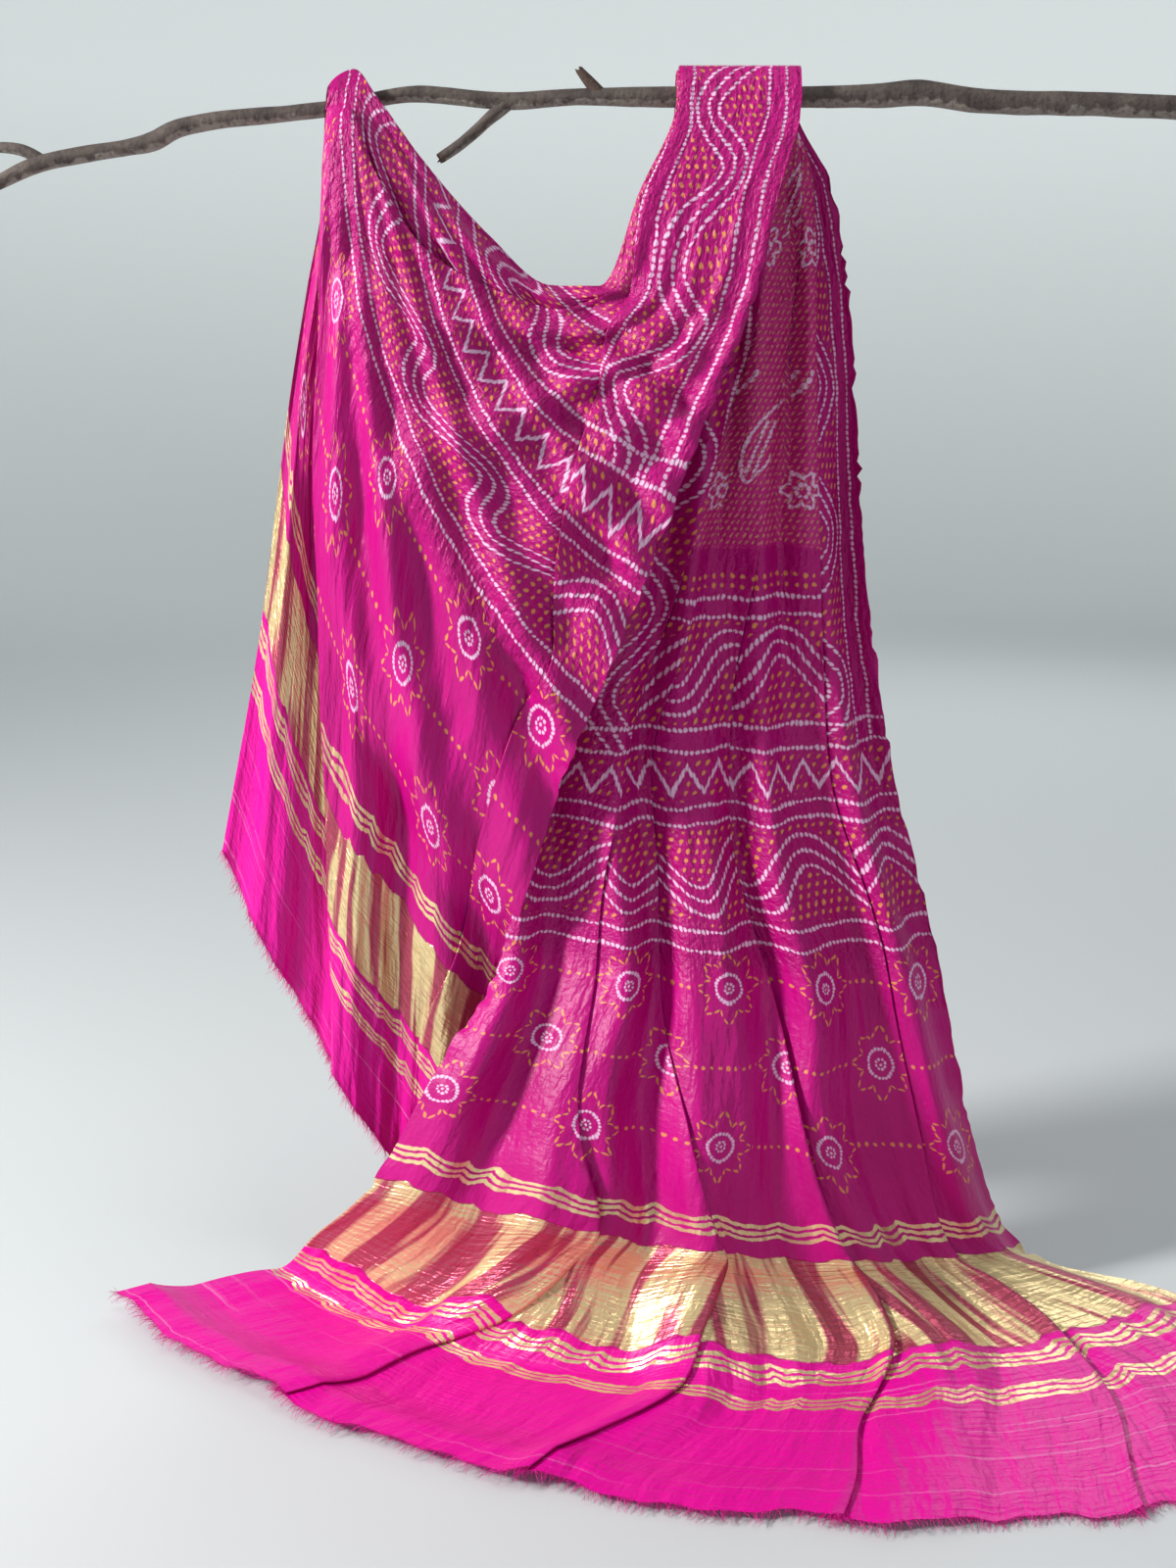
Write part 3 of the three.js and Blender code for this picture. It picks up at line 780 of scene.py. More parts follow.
@dataclass
class Drape:
    """The folds of the cloth: its sections and how they are drawn.

    Distances in millimetres. ripples, folds: heights of the narrow and broad waves at distances
    along the cloth. flattening: how much of a crease's radius is left there. wander: how far the
    creases stray, as a share of the row. shears: how far the pattern slips there.
    """

    layer_step: float = 1.8
    open_cover: float = 0.3
    flat_cover: float = 0.48
    floor_clearance: float = 0.8
    lean_from: float = 1027.0
    lean: float = 1.1
    layer_points: tuple[int, ...] = (34, 10, 46, 10, 30, 16, 26, 14, 22)
    crease_points: int = 4
    ripples: tuple[tuple[float, float], ...] = (
        (0, 2.4), (150, 4.0), (270, 4.4), (450, 2.6), (616, 1.6), (800, 1.0), (1000, 0.5),
        (1150, 0.2), (1280, 0), (1600, 0), (1700, 0.8), (1820, 1.2), (2060, 1.2), (2250, 1.6),
        (2400, 2.0), (2580, 2.4),
    )
    folds: tuple[tuple[float, float], ...] = (
        (0, 4), (150, 8), (300, 11), (450, 14), (616, 14), (800, 12), (1000, 11), (1200, 8), (1260, 5),
        (1300, 0), (1500, 0), (1650, 3), (1850, 5), (2000, 3), (2580, 1),
    )
    flattening: tuple[tuple[float, float], ...] = ((0, 0.5), (150, 0.5), (300, 0.8), (450, 1))
    wander: tuple[tuple[float, float], ...] = (
        (0, 0.008), (300, 0.008), (800, 0.006), (1250, 0.003), (1320, 0), (1600, 0),
        (1800, 0.004), (2580, 0.005),
    )
    gather: tuple[float, float] = (-190.0, 1045.0)
    gather_step: float = 6.4
    gather_depth: float = 10.0
    hem_reach: float = 110.0
    hem_wave: float = 3.6
    shears: tuple[tuple[float, float], ...] = (
        (1980, 0), (2324, -85), (2480, -60), (2580, 0),
    )
    sections: list[tuple[float, np.ndarray]] = field(init=False)

    def __post_init__(self) -> None:
        """Sorts the stations."""
        every = sorted([*STATIONS, *wrap_stations()], key=lambda s: s.v)
        self.sections = [(s.v, s.numbers()) for s in every]

    def section_at(self, v: float) -> np.ndarray:
        """The section's numbers at a distance along, by a cubic that doesn't overshoot.

        Args:
            v: Distance along the cloth.

        Returns:
            The numbers.
        """
        last = len(self.sections) - 2
        i = 0
        while i < last and self.sections[i + 1][0] < v:
            i += 1
        (va, a), (vb, b) = self.sections[i], self.sections[i + 1]
        span = vb - va
        chord = (b - a) / span
        start = chord if i == 0 else self.slope(self.sections[i - 1 : i + 2])
        end = chord if i == last else self.slope(self.sections[i : i + 3])
        t = (v - va) / span
        t2, t3 = t * t, t * t * t
        return (
            a * (2 * t3 - 3 * t2 + 1)
            + b * (3 * t2 - 2 * t3)
            + span * (start * (t3 - 2 * t2 + t) + end * (t3 - t2))
        )

    @staticmethod
    def slope(three: list[tuple[float, np.ndarray]]) -> np.ndarray:
        """The slope at the middle one of three sections: none at a peak.

        Args:
            three: The sections before, here and after.

        Returns:
            The slopes.
        """
        (v0, a), (v1, b), (v2, c) = three
        before, after = (b - a) / (v1 - v0), (c - b) / (v2 - v1)
        product, total = before * after, before + after
        safe = np.where(product > 0, total, 1.0)
        return np.where(product > 0, 2 * product / safe, 0.0)

    def pleat(self, ends: np.ndarray, i: int, roll: float, climb: float) -> tuple[float, float]:
        """A pleat's crease radius and climb: flat where its layers cover each other.

        Args:
            ends: The creases from 0.
            i: The pleat's first crease.
            roll: Radius of an open pleat.
            climb: Climb of an open pleat.

        Returns:
            The radius and the climb.
        """
        before = abs(ends[i] - ends[i - 1])
        under = abs(ends[i] - ends[i + 1])
        after = abs(ends[i + 2] - ends[i + 1])
        cover = under / min(before, after)
        share = (cover - self.open_cover) / (self.flat_cover - self.open_cover)
        share = min(max(share, 0.0), 1.0)
        flat = share * share * (3 - 2 * share)
        return (
            roll + (self.layer_step / 2 - roll) * flat,
            climb + (2 * self.layer_step - climb) * flat,
        )

    def profile(
        self, creases: np.ndarray, roll: float, climb: float, length: float
    ) -> tuple[np.ndarray, np.ndarray]:
        """A row's way from crease to crease, each layer behind what it covers.

        Args:
            creases: Shares of the row.
            roll: Radius of the creases.
            climb: How far each pleat ends behind the one before.
            length: The row's length.

        Returns:
            Shares of the length, and depths.
        """
        shares, depths = np.empty(0), np.empty(0)
        ends = np.concatenate([[0.0], creases])
        depth = reach = wanted = 0.0
        for i, crease in enumerate(creases):
            side = 1 if i % 2 == 0 else -1
            last = i == len(creases) - 1
            radius, rise_by = (0.0, 0.0) if last else self.pleat(ends, 2 * (i >> 1) + 1, roll, climb)
            start = ends[i] + side * reach / length
            stop = crease - side * radius / length
            rise = 0.0
            if side > 0 and i > 0:
                over = (shares > start) & (shares < stop)
                room = (depths[over] - self.layer_step - depth) * (stop - start)
                room = room / (shares[over] - start)
                rise = max(min([wanted, *room]), 0.0)
            t = np.linspace(0, 1, self.layer_points[i] + 1)[0 if i == 0 else 1 :]
            shares = np.concatenate([shares, start + (stop - start) * t])
            depths = np.concatenate([depths, depth + rise * t])
            depth += rise
            if last:
                break
            following = ends[i + 2]
            low, high = min(following, crease), max(following, crease)
            covered = depths[(shares >= low) & (shares <= high)]
            behind = covered.min() - self.layer_step if covered.size else depth
            fold = max(radius, (depth - behind) / 2)
            angle = math.pi * np.arange(1, self.crease_points) / (self.crease_points - 1)
            shares = np.concatenate([shares, stop + side * radius * np.sin(angle) / length])
            depths = np.concatenate([depths, depth - fold * (1 - np.cos(angle))])
            depth -= 2 * fold
            reach = radius
            if side > 0:
                wanted = 4 * radius - rise_by
        return shares, depths

    def row(self, v: float) -> tuple[np.ndarray, np.ndarray, np.ndarray]:
        """One row of the sheet.

        Args:
            v: Distance along the cloth.

        Returns:
            Its points, how far each is along the row, and how far the pattern slips there.
        """
        numbers = self.section_at(v)
        right, left = numbers[0:3], numbers[3:6]
        bow, face, roll, climb, swell = numbers[6:11]
        roll *= self.at(self.flattening, v)
        chord = left - right
        along = chord / np.linalg.norm(chord)
        outward = np.array([0, -math.sin(math.radians(face)), math.cos(math.radians(face))])
        outward = outward - along * outward.dot(along)
        outward /= np.linalg.norm(outward)
        grain = np.cross(outward, along)
        turn = math.radians(math.copysign(max(abs(bow), 0.01), bow))
        radius = np.linalg.norm(chord) / (2 * math.sin(turn / 2))
        length = radius * turn
        shares, layer = self.profile(numbers[11:], roll, climb, length)
        depths = layer + 4 * swell * shares * (1 - shares) + self.ripple(shares, v)
        sway = np.sin(2 * math.pi * 2.3 * shares + v / 48) + 0.6 * np.sin(17 * shares - v / 29)
        drawn = shares + self.at(self.wander, v) * np.sin(math.pi * np.clip(shares, 0, 1)) * sway
        angle = (turn * (drawn - 0.5))[:, None]
        points = (
            right
            + along * radius * (np.sin(angle) + math.sin(turn / 2))
            + grain * radius * (math.cos(turn / 2) - np.cos(angle))
            + outward * depths[:, None]
        )
        points[:, 2] = np.maximum(points[:, 2], self.floor_clearance - layer)
        leaning = points[:, 0] < 0
        points[leaning, 1] += self.lean * np.maximum(points[leaning, 2] - self.lean_from, 0)
        points[:, 1] += self.gathers(points, v) + self.hem(shares, v)
        run = np.hypot(np.diff(shares) * length, np.diff(layer))
        slip = self.shear(shares, numbers[11:], v)
        return points, np.concatenate([[0.0], np.cumsum(run)]), slip

    @staticmethod
    def at(table: tuple[tuple[float, float], ...], v: float) -> float:
        """A table's value at a distance along, straight between its entries."""
        places, values = zip(*table)
        return float(np.interp(v, places, values))

    def ripple(self, shares: np.ndarray, v: float) -> np.ndarray:
        """Soft waves that all layers of a row share.

        Args:
            shares: Where across the row.
            v: Distance along the cloth.

        Returns:
            Their heights.
        """
        height = self.at(self.ripples, v)
        wide = np.sin(2 * math.pi * (9.5 * shares + 0.35 * math.sin(v / 190)))
        narrow = np.sin(2 * math.pi * (23.0 * shares + 0.3 * math.sin(v / 120 + 1)))
        fine = np.sin(2 * math.pi * (37.0 * shares + 0.3 * math.sin(v / 80 + 2)))
        slow = 0.7 + 0.3 * np.sin(2 * math.pi * (2.3 * shares + v / 700))
        fold = self.at(self.folds, v)
        broad = np.sin(2 * math.pi * (4.6 * shares + 0.22 * math.sin(v / 260)) + 0.6)
        broad = broad + 0.35 * np.sin(2 * math.pi * (8.1 * shares + 0.3 * math.sin(v / 170)))
        return height * (0.75 * wide + 0.32 * narrow + 0.16 * fine) * slow + fold * broad

    def hem(self, shares: np.ndarray, v: float) -> np.ndarray:
        """An uneven wave of the end that lies on the floor.

        Args:
            shares: Where across the row.
            v: Distance along the cloth.

        Returns:
            How far each point moves back.
        """
        near = max(1 - v / self.hem_reach, 0) ** 2
        wave = np.sin(2 * math.pi * 7.3 * shares + 1.0) + 0.7 * np.sin(2 * math.pi * 12.7 * shares)
        return self.hem_wave * near * (wave + 0.4 * np.sin(2 * math.pi * 29 * shares))

    def gathers(self, points: np.ndarray, v: float) -> np.ndarray:
        """Folds that spread from where the cloth is caught up on the left.

        Args:
            points: Points of a row.
            v: Distance along the cloth.

        Returns:
            How far each point moves back.
        """
        begun = min(max((v - 1500) / 160, 0), 1)
        dx, dz = points[:, 0] - self.gather[0], self.gather[1] - points[:, 2]
        reach = np.hypot(dx, dz)
        angle = np.degrees(np.arctan2(dx, dz))
        length = reach * math.radians(self.gather_step)
        depth = np.minimum(0.17 * length, self.gather_depth) * begun
        phase = 2 * math.pi * angle / self.gather_step + 0.9 * np.sin(reach / 130)
        return depth * np.sin(phase) * (0.72 + 0.28 * np.sin(2 * math.pi * angle / 13.7))

    def shear(self, shares: np.ndarray, creases: np.ndarray, v: float) -> np.ndarray:
        """How far the pattern slips along the cloth up to the hidden pleat of the front fold.

        Args:
            shares: Where across the row.
            creases: The row's creases.
            v: Distance along the cloth.

        Returns:
            The slip.
        """
        slip = self.at(self.shears, v)
        layer = np.repeat(
            np.arange(len(self.layer_points)),
            np.array(self.layer_points) + self.crease_points - 1,
        )
        layer = np.concatenate([[0], layer])[: len(shares)]
        front = np.clip(shares / creases[2], 0, 1)
        under = np.clip((shares - creases[3]) / max(creases[2] - creases[3], 1e-6), 0, 1)
        return slip * np.where(layer <= 2, front, np.where(layer == 3, under, 0.0))


@dataclass
class Cloth:
    """The silk: one thin sheet on its folds, with ruffled side edges and frayed ends."""

    drape: Drape
    finish: SilkFinish
    rows: int = 424
    ruffle_width: float = 0.011
    ruffle_height: float = 0.0034
    ruffle_length: float = 0.021
    ruffle_sway: float = 0.4
    border_gather: float = 0.04
    points: np.ndarray = field(init=False)
    across: np.ndarray = field(init=False)
    along: np.ndarray = field(init=False)
    slips: np.ndarray = field(init=False)

    def shape(self) -> None:
        """Works out the sheet's grid of points, and where each is on the cut cloth."""
        self.along = np.linspace(0, CLOTH_LENGTH, self.rows)
        grid, runs, slips = [], [], []
        for v in self.along:
            points, run, slip = self.drape.row(v / MILLIMETRE)
            grid.append((points + HOME) * MILLIMETRE)
            runs.append(self.drawn_up(run / run[-1] * CLOTH_WIDTH, v))
            slips.append(slip * MILLIMETRE)
        self.slips = np.array(slips)
        self.points = np.array(grid)
        self.across = np.array(runs)
        self.ruffle()

    def drawn_up(self, across: np.ndarray, v: float) -> np.ndarray:
        """Gathers the border at the right edge below the branch, so more of it shows.

        Args:
            across: Distances from the right edge, evenly spread.
            v: Distance along the cloth.

        Returns:
            The distances on the cut cloth.
        """
        share = np.interp(v, (0.80, 1.0, 1.32, 1.40), (0, 1, 1, 0))
        near = np.minimum(across / self.border_gather, 1)
        fading = np.clip(1 - (across - self.border_gather) / 0.14, 0, 1)
        return across + share * self.border_gather * near * fading

    def normals(self) -> np.ndarray:
        """The sheet's direction at each of its points.

        Returns:
            Unit vectors.
        """
        du = np.gradient(self.points, axis=1)
        dv = np.gradient(self.points, axis=0)
        normal = np.cross(du, dv)
        size = np.linalg.norm(normal, axis=2, keepdims=True)
        return normal / np.maximum(size, 1e-12)

    def ruffle(self) -> None:
        """Waves the two side edges."""
        edge = np.minimum(self.across, CLOTH_WIDTH - self.across)
        near = np.clip(1 - edge / self.ruffle_width, 0, 1)
        v = self.along[:, None]
        held = np.clip(np.abs(v - 1.385) / 0.06 - 0.6, 0.15, 1) * np.clip((v - 0.22) / 0.1, 0, 1)
        phase = 2 * math.pi * v / self.ruffle_length + 3.1 * np.sin(v * 31) + 2.2 * np.sin(v * 83)
        uneven = 0.55 + 0.45 * np.sin(v * 57 + 2 * np.sin(v * 23))
        wave = np.sin(phase) * near * held * uneven * self.ruffle_height
        inwards = np.gradient(self.points, axis=1)
        inwards /= np.maximum(np.linalg.norm(inwards, axis=2, keepdims=True), 1e-12)
        side = np.where(self.across < CLOTH_WIDTH / 2, -1.0, 1.0)
        sway = np.cos(phase * 0.5) * near * held * uneven * self.ruffle_height * self.ruffle_sway
        self.points = self.points + self.normals() * wave[..., None]
        self.points = self.points + inwards * (side * sway)[..., None]
        low = 0.0004
        self.points[..., 2] = np.maximum(self.points[..., 2], low)

    def build(self) -> bpy.types.Object:
        """Builds and dresses the sheet.

        Returns:
            The object.
        """
        self.shape()
        height, width = self.across.shape
        at = np.arange(height * width).reshape(height, width)
        corners = [at[:-1, :-1], at[:-1, 1:], at[1:, 1:], at[1:, :-1]]
        faces = np.stack(corners, axis=-1).reshape(-1, 4)
        mesh = bpy.data.meshes.new("silk_cloth")
        mesh.from_pydata(self.points.reshape(-1, 3).tolist(), [], faces.tolist())
        layer = mesh.uv_layers.new(name="cloth")
        along = self.along[:, None] + self.slips
        places = np.stack([self.across, along], axis=-1).reshape(-1, 2)
        layer.data.foreach_set("uv", places[faces.reshape(-1)].astype(np.float32).reshape(-1))
        mesh.shade_smooth()
        mesh.materials.append(self.finish.material())
        made = bpy.data.objects.new("silk_cloth", mesh)
        bpy.context.collection.objects.link(made)
        return made


@dataclass
class Fringe:
    """The frayed ends: loose threads along the first and last row."""

    cloth: Cloth
    finish: ThreadFinish
    spacing: float = 0.0005
    thread: float = 0.00028
    longest: float = 0.012
    sides: int = 3
    steps: int = 5

    def guide(self, end: int) -> bpy.types.Object:
        """A line along one end of the cloth, which knows which way the threads leave it.

        Args:
            end: 0 for the end on the floor, -1 for the hanging end.

        Returns:
            The object.
        """
        edge = self.cloth.points[end]
        inner = self.cloth.points[2 if end == 0 else -3]
        out = edge - inner
        out /= np.maximum(np.linalg.norm(out, axis=1, keepdims=True), 1e-9)
        if end == 0:
            out[:, 2] = 0.02
        else:
            out[:, 2] -= 0.5
        out /= np.linalg.norm(out, axis=1, keepdims=True)
        mesh = bpy.data.meshes.new("frayed_end")
        lines = [(k, k + 1) for k in range(len(edge) - 1)]
        mesh.from_pydata(edge.tolist(), lines, [])
        mesh.attributes.new("leave", "FLOAT_VECTOR", "POINT")
        mesh.attributes["leave"].data.foreach_set("vector", out.astype(np.float32).reshape(-1))
        made = bpy.data.objects.new("frayed_end", mesh)
        bpy.context.collection.objects.link(made)
        return made

    def thread_mesh(self) -> bpy.types.Object:
        """One thread of length 1 along +Z, a thin bent tube.

        Returns:
            The object.
        """
        points = []
        for k in range(self.steps + 1):
            t = k / self.steps
            thin = self.thread / self.longest * (1 - 0.6 * t)
            for s in range(self.sides):
                angle = 2 * math.pi * s / self.sides
                points.append(
                    (thin * math.cos(angle) + 0.16 * t * t, thin * math.sin(angle), t)
                )
        faces = [
            (k * self.sides + s, k * self.sides + (s + 1) % self.sides,
             (k + 1) * self.sides + (s + 1) % self.sides, (k + 1) * self.sides + s)
            for k in range(self.steps)
            for s in range(self.sides)
        ]
        mesh = bpy.data.meshes.new("one_thread")
        mesh.from_pydata(points, [], faces)
        made = bpy.data.objects.new("one_thread", mesh)
        bpy.context.collection.objects.link(made)
        return made

    def tree(self, name: str, thread: bpy.types.Object) -> bpy.types.NodeTree:
        """Geometry nodes that set threads along a line.

        Args:
            name: The tree's name.
            thread: The thread to set.

        Returns:
            The tree, with inputs Spacing, Shortest, Longest, Spread and Seed.
        """
        tree = bpy.data.node_groups.new(name, "GeometryNodeTree")
        face = tree.interface
        face.new_socket("Geometry", in_out="INPUT", socket_type="NodeSocketGeometry")
        for label, kind in (
            ("Spacing", "NodeSocketFloat"),
            ("Shortest", "NodeSocketFloat"),
            ("Longest", "NodeSocketFloat"),
            ("Spread", "NodeSocketFloat"),
            ("Seed", "NodeSocketInt"),
        ):
            face.new_socket(label, in_out="INPUT", socket_type=kind)
        face.new_socket("Geometry", in_out="OUTPUT", socket_type="NodeSocketGeometry")
        nodes, links = tree.nodes, tree.links
        given = nodes.new("NodeGroupInput").outputs
        to_curve = nodes.new("GeometryNodeMeshToCurve")
        resample = nodes.new("GeometryNodeResampleCurve")
        resample.mode = "LENGTH"
        to_points = nodes.new("GeometryNodeCurveToPoints")
        to_points.mode = "EVALUATED"
        leave = nodes.new("GeometryNodeInputNamedAttribute")
        leave.data_type = "FLOAT_VECTOR"
        leave.inputs["Name"].default_value = "leave"
        jitter = nodes.new("FunctionNodeRandomValue")
        jitter.data_type = "FLOAT_VECTOR"
        away = nodes.new("ShaderNodeVectorMath")
        away.operation = "SCALE"
        total = nodes.new("ShaderNodeVectorMath")
        align = nodes.new("FunctionNodeAlignEulerToVector")
        align.axis = "Z"
        spin = nodes.new("FunctionNodeRandomValue")
        spin.inputs[3].default_value = 2 * math.pi
        turn = nodes.new("ShaderNodeCombineXYZ")
        rotate = nodes.new("FunctionNodeRotateEuler")
        rotate.space = "LOCAL"
        size = nodes.new("FunctionNodeRandomValue")
        piece = nodes.new("GeometryNodeObjectInfo")
        piece.inputs["Object"].default_value = thread
        place = nodes.new("GeometryNodeInstanceOnPoints")
        real = nodes.new("GeometryNodeRealizeInstances")
        paint = nodes.new("GeometryNodeSetMaterial")
        paint.inputs["Material"].default_value = self.finish_material
        out = nodes.new("NodeGroupOutput")
        jitter.inputs[0].default_value = (-1, -1, -1)
        jitter.inputs[1].default_value = (1, 1, 1)
        for start, stop in (
            (given["Geometry"], to_curve.inputs[0]),
            (to_curve.outputs[0], resample.inputs["Curve"]),
            (given["Spacing"], resample.inputs["Length"]),
            (resample.outputs[0], to_points.inputs[0]),
            (to_points.outputs["Points"], place.inputs["Points"]),
            (jitter.outputs[0], away.inputs[0]),
            (given["Spread"], away.inputs["Scale"]),
            (leave.outputs["Attribute"], total.inputs[0]),
            (away.outputs[0], total.inputs[1]),
            (total.outputs[0], align.inputs["Vector"]),
            (align.outputs[0], rotate.inputs["Rotation"]),
            (spin.outputs[1], turn.inputs[2]),
            (turn.outputs[0], rotate.inputs["Rotate By"]),
            (rotate.outputs[0], place.inputs["Rotation"]),
            (given["Shortest"], size.inputs[2]),
            (given["Longest"], size.inputs[3]),
            (size.outputs[1], place.inputs["Scale"]),
            (piece.outputs["Geometry"], place.inputs["Instance"]),
            (place.outputs[0], real.inputs[0]),
            (real.outputs[0], paint.inputs[0]),
            (paint.outputs[0], out.inputs[0]),
            (given["Seed"], jitter.inputs["Seed"]),
            (given["Seed"], spin.inputs["Seed"]),
            (given["Seed"], size.inputs["Seed"]),
        ):
            links.new(start, stop)
        return tree

    def build(self) -> list[bpy.types.Object]:
        """Builds the threads of both ends.

        Returns:
            The two objects.
        """
        self.finish_material = self.finish.material()
        thread = self.thread_mesh()
        made = []
        for name, end in (("threads_floor_end", 0), ("threads_hanging_end", -1)):
            guide = self.guide(end)
            tree = self.tree(name, thread)
            values = {
                "Spacing": self.spacing,
                "Shortest": 0.3 * self.longest,
                "Longest": self.longest,
                "Spread": 0.7,
                "Seed": SEED + end,
            }
            piece = run_tree(guide, tree, values, name)
            keep_above_floor(piece)
            made.append(piece)
        bpy.data.objects.remove(thread)
        return made


def run_tree(
    source: bpy.types.Object, tree: bpy.types.NodeTree, values: dict[str, float], name: str
) -> bpy.types.Object:
    """Runs a tree on an object and keeps the result as a plain mesh.

    Args:
        source: The object that the tree starts from, which is removed.
        tree: The tree.
        values: The tree's inputs by name.
        name: The name of the result.

    Returns:
        The new object.
    """
    modifier = source.modifiers.new(name, "NODES")
    modifier.node_group = tree
    for item in tree.interface.items_tree:
        if item.in_out == "INPUT" and item.name in values:
            modifier[item.identifier] = values[item.name]
    graph = bpy.context.evaluated_depsgraph_get()
    mesh = bpy.data.meshes.new_from_object(source.evaluated_get(graph))
    mesh.name = name
    made = bpy.data.objects.new(name, mesh)
    bpy.context.collection.objects.link(made)
    bpy.data.objects.remove(source)
    return made


def keep_above_floor(piece: bpy.types.Object) -> None:
    """Lifts what reaches below the floor onto it.

    Args:
        piece: The object.
    """
    flat = np.empty(len(piece.data.vertices) * 3, dtype=np.float32)
    piece.data.vertices.foreach_get("co", flat)
    points = flat.reshape(-1, 3)
    points[:, 2] = np.maximum(points[:, 2], 0.0003)
    piece.data.vertices.foreach_set("co", points.reshape(-1))
    piece.data.update()


@dataclass(frozen=True)
class Limb:
    """One limb of the branch: (across, depth, height, radius) at its knots, in millimetres."""

    name: str
    knots: tuple[tuple[float, float, float, float], ...]
    rings: int
    broken_end: bool = False

    def path(self) -> tuple[np.ndarray, np.ndarray]:
        """A smooth way through the knots.

        Returns:
            The centres and the radii of the rings.
        """
        knots = np.array(self.knots)
        places = knots[:, :3]
        places = np.vstack([2 * places[0] - places[1], places, 2 * places[-1] - places[-2]])
        centres, radii = [], []
        for j in range(self.rings + 1):
            t = j / self.rings * (len(knots) - 1)
            k = min(int(t), len(knots) - 2)
            centres.append(self.between(places[k : k + 4], t - k))
            radii.append(knots[k, 3] + (knots[k + 1, 3] - knots[k, 3]) * (t - k))
        return np.array(centres), np.array(radii)

    @staticmethod
    def between(four: np.ndarray, t: float) -> np.ndarray:
        """A point between the middle two of four, on a curve through them.

        Args:
            four: The points.
            t: 0 at the second, 1 at the third.

        Returns:
            The point.
        """
        gaps = np.sqrt(np.linalg.norm(np.diff(four, axis=0), axis=1))
        first = (four[1] - four[0]) / gaps[0] - (four[2] - four[0]) / (gaps[0] + gaps[1])
        first = (first + (four[2] - four[1]) / gaps[1]) * gaps[1]
        second = (four[2] - four[1]) / gaps[1] - (four[3] - four[1]) / (gaps[1] + gaps[2])
        second = (second + (four[3] - four[2]) / gaps[2]) * gaps[1]
        a, b = four[1], four[2]
        t2, t3 = t * t, t * t * t
        return (
            a * (2 * t3 - 3 * t2 + 1)
            + b * (3 * t2 - 2 * t3)
            + first * (t3 - 2 * t2 + t)
            + second * (t3 - t2)
        )


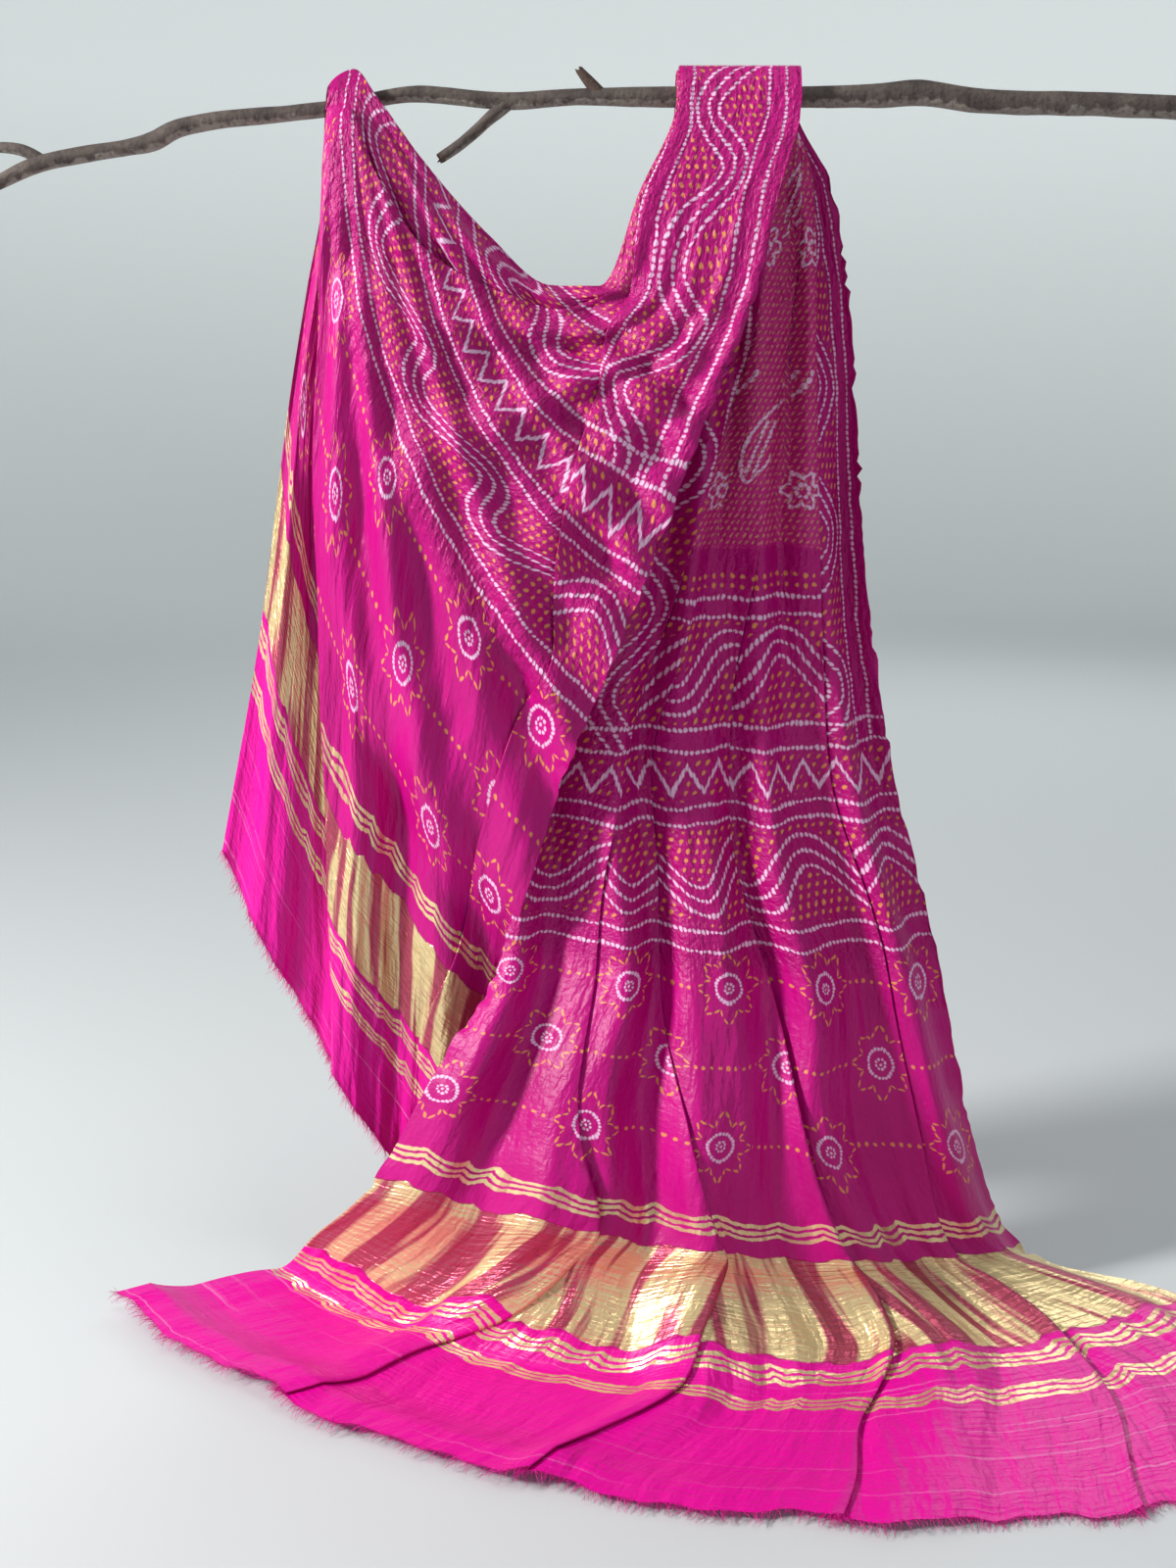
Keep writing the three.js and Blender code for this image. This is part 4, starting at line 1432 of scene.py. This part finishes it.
@dataclass
class Branch:
    """The natural branch: a main limb, a hanging twig, a fork and a broken stub."""

    finish: BarkFinish
    around: int = 28
    roughness: float = 0.09
    covered: tuple[float, float] = (40.0, 190.0)
    limbs: tuple[Limb, ...] = (
        Limb("limb", (
            (-520, 0, 938, 5.4), (-474, 0, 959, 5.6), (-440, 1, 973, 6.4), (-370, 0, 985, 6.2),
            (-350, 0, 989, 7.4), (-322, -1, 1001, 7.0), (-207, 0, 1014, 5.8),
            (-141, 0, 1025, 6.0), (-66, 1, 1020, 6.6), (-10, 0, 1023, 6.4), (60, 0, 1023, 8.0),
            (120, 0, 1023, 8.0), (178, 0, 1023, 8.0), (234, 0, 1024, 9.4), (266, 0, 1026, 9.6),
            (313, 1, 1020, 9.2), (400, 0, 1018, 9.0), (496, 0, 1014, 8.8), (520, 0, 1014, 8.8),
        ), 540),
        Limb("twig", (
            (-62, 1, 1020, 5.6), (-78, -2, 1007, 5.0), (-100, -6, 988, 4.2),
            (-119, -9, 975, 4.0),
        ), 48, True),
        Limb("fork", (
            (-438, 1, 974, 5.0), (-455, 4, 983, 4.6), (-478, 8, 986, 4.2), (-504, 12, 984, 4.0),
        ), 48),
        Limb("stub", (
            (12, 0, 1022, 6.0), (2, -1, 1033, 4.6), (-7, -2, 1043, 3.2),
        ), 26, True),
    )

    def tube(self, limb: Limb) -> tuple[np.ndarray, list[tuple[int, ...]], np.ndarray]:
        """The bark surface of one limb.

        Args:
            limb: The limb.

        Returns:
            Points in millimetres, faces, and how broken and how sawn each point is.
        """
        centres, radii = limb.path()
        tangents = np.gradient(centres, axis=0)
        tangents /= np.linalg.norm(tangents, axis=1, keepdims=True)
        points, wear = [], []
        last = len(centres) - 1
        for j, (centre, radius, ahead) in enumerate(zip(centres, radii, tangents)):
            side = np.array([0.0, 1.0, 0.0]) - ahead * ahead[1]
            side /= np.linalg.norm(side)
            above = np.cross(side, ahead)
            free = 0.25 if self.covered[0] < centre[0] < self.covered[1] else 1.0
            for i in range(self.around):
                angle = 2 * math.pi * i / self.around
                out = side * math.cos(angle) + above * math.sin(angle)
                near = Vector(centre * [0.035, 0.09, 0.09] + out * 1.3)
                ridge = Vector(centre * [0.012, 0.02, 0.02] + out * 3.4)
                rough = noise.noise(near) + 0.6 * noise.noise(ridge)
                reach = radius * (1 + self.roughness * free * rough)
                shift = np.zeros(3)
                if limb.broken_end and j > last - 4:
                    jag = noise.noise(Vector(out * 2.7 + centre * 0.01))
                    shift = ahead * jag * 4.0 * (j - last + 4) / 4
                points.append(centre + out * reach + shift)
                broken = 1.0 if limb.name == "stub" else 0.0
                if limb.broken_end and j > last - 3:
                    broken = 1.0
                wear.append((broken, 0.0))
        faces = [
            (j * self.around + i, j * self.around + (i + 1) % self.around,
             (j + 1) * self.around + (i + 1) % self.around, (j + 1) * self.around + i)
            for j in range(last)
            for i in range(self.around)
        ]
        for ring in (0, last):
            middle = len(points)
            points.append(centres[ring])
            kind = (1.0, 0.0) if limb.broken_end else (0.0, 1.0)
            wear.append(kind)
            start = ring * self.around
            for i in range(self.around):
                a, b = start + i, start + (i + 1) % self.around
                faces.append((middle, b, a) if ring == 0 else (middle, a, b))
        return np.array(points), faces, np.array(wear)

    def build(self) -> bpy.types.Object:
        """Builds and dresses the branch.

        Returns:
            The object.
        """
        points, faces, wear = [], [], []
        start = 0
        for limb in self.limbs:
            tube_points, tube_faces, tube_wear = self.tube(limb)
            points.append(tube_points)
            wear.append(tube_wear)
            faces.extend([tuple(start + k for k in face) for face in tube_faces])
            start += len(tube_points)
        places = (np.vstack(points) + HOME) * MILLIMETRE
        mesh = bpy.data.meshes.new("bark_branch")
        mesh.from_pydata(places.tolist(), [], faces)
        mesh.shade_smooth()
        mesh.update()
        upper = np.array([v.normal.z for v in mesh.vertices], dtype=np.float32)
        worn = np.vstack(wear).astype(np.float32)
        for name, values in (("upper", upper), ("broken", worn[:, 0]), ("cut", worn[:, 1])):
            layer = mesh.attributes.new(name, "FLOAT", "POINT")
            layer.data.foreach_set("value", np.ascontiguousarray(values))
        mesh.materials.append(self.finish.material())
        made = bpy.data.objects.new("bark_branch", mesh)
        bpy.context.collection.objects.link(made)
        return made


class Light(Enum):
    """The studio's lamps: place, size, power and colour."""

    KEY = ((-2.7, -0.9, 2.0), 0.5, 132.0, (1.0, 0.985, 0.96))
    FRONT = ((1.7, -2.6, 1.7), 0.8, 8.0, (0.97, 0.985, 1.0))
    TOP = ((0.4, -0.2, 3.0), 1.0, 15.0, (1.0, 1.0, 1.0))
    BACK = ((1.2, 3.2, 2.2), 2.0, 26.0, (1.0, 1.0, 1.0))


@dataclass
class Studio:
    """Pale floor that sweeps up far round the object, soft lamps and the camera."""

    finish: FloorFinish
    eye: tuple[float, float, float] = (0.0, -1.45, 0.80)
    pitch: float = 13.2
    lens: float = 39.15
    flat_until: float = 3.6
    sweep_from: float = 4.2
    sweep_radius: float = 1.6
    sweep_steps: int = 16
    wall_height: float = 5.0
    sides: int = 72

    def floor(self) -> bpy.types.Object:
        """The round floor, which sweeps up into a wall far off on all sides.

        Returns:
            The object.
        """
        outline = [(self.flat_until, 0.0), (self.sweep_from, 0.0)]
        for k in range(1, self.sweep_steps + 1):
            angle = math.pi / 2 * k / self.sweep_steps
            reach = self.sweep_from + self.sweep_radius * math.sin(angle)
            outline.append((reach, self.sweep_radius * (1 - math.cos(angle))))
        outline.append((self.sweep_from + self.sweep_radius, self.wall_height))
        points = []
        for reach, height in outline:
            for k in range(self.sides):
                angle = 2 * math.pi * k / self.sides
                points.append((reach * math.cos(angle), reach * math.sin(angle), height))
        faces = [tuple(range(self.sides))]
        for j in range(len(outline) - 1):
            for k in range(self.sides):
                low, high = j * self.sides, (j + 1) * self.sides
                following = (k + 1) % self.sides
                faces.append((low + k, high + k, high + following, low + following))
        mesh = bpy.data.meshes.new("paper_floor")
        mesh.from_pydata(points, [], faces)
        mesh.shade_smooth()
        mesh.materials.append(self.finish.material())
        made = bpy.data.objects.new("paper_floor", mesh)
        bpy.context.collection.objects.link(made)
        return made

    def lamps(self) -> None:
        """Soft lamps from the left, the front, above and behind."""
        target = Vector((0.0, 0.0, 0.5))
        for lamp in Light:
            place, size, power, colour = lamp.value
            data = bpy.data.lights.new(lamp.name.lower(), "AREA")
            data.shape = "DISK"
            data.size = size
            data.energy = power
            data.color = colour
            made = bpy.data.objects.new(lamp.name.lower(), data)
            made.location = place
            aim = target - Vector(place)
            made.rotation_euler = aim.to_track_quat("-Z", "Y").to_euler()
            bpy.context.collection.objects.link(made)
        world = bpy.data.worlds.new("studio")
        bpy.context.scene.world = world
        world.use_nodes = True
        shade = world.node_tree.nodes["Background"]
        shade.inputs["Color"].default_value = srgb(214, 220, 226)
        shade.inputs["Strength"].default_value = 0.13

    def camera(self) -> None:
        """The camera, level with the upper part of the cloth and tipped down."""
        data = bpy.data.cameras.new("view")
        data.lens = self.lens
        data.sensor_fit = "AUTO"
        data.sensor_width = 36.0
        made = bpy.data.objects.new("view", data)
        made.location = Vector(self.eye) + Vector(HOME * MILLIMETRE)
        made.rotation_euler = (math.radians(90 - self.pitch), 0.0, 0.0)
        bpy.context.collection.objects.link(made)
        bpy.context.scene.camera = made

    def build(self) -> bpy.types.Object:
        """Builds the floor, the lamps and the camera.

        Returns:
            The floor.
        """
        self.lamps()
        self.camera()
        bpy.context.scene.view_settings.view_transform = "Standard"
        return self.floor()


def main() -> None:
    """Builds the whole scene in order."""
    logging.basicConfig(level=logging.INFO)
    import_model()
    cloth = Cloth(Drape(), SilkFinish())
    silk = cloth.build()
    threads = Fringe(cloth, ThreadFinish()).build()
    branch = Branch(BarkFinish()).build()
    for piece in (silk, *threads, branch):
        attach(piece, "root")
        LOG.info("%s: %d faces", piece.name, len(piece.data.polygons))
    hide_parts("cloth")
    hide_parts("branch")
    Studio(FloorFinish()).build()
    bpy.context.view_layer.update()


if __name__ == "__main__":
    main()
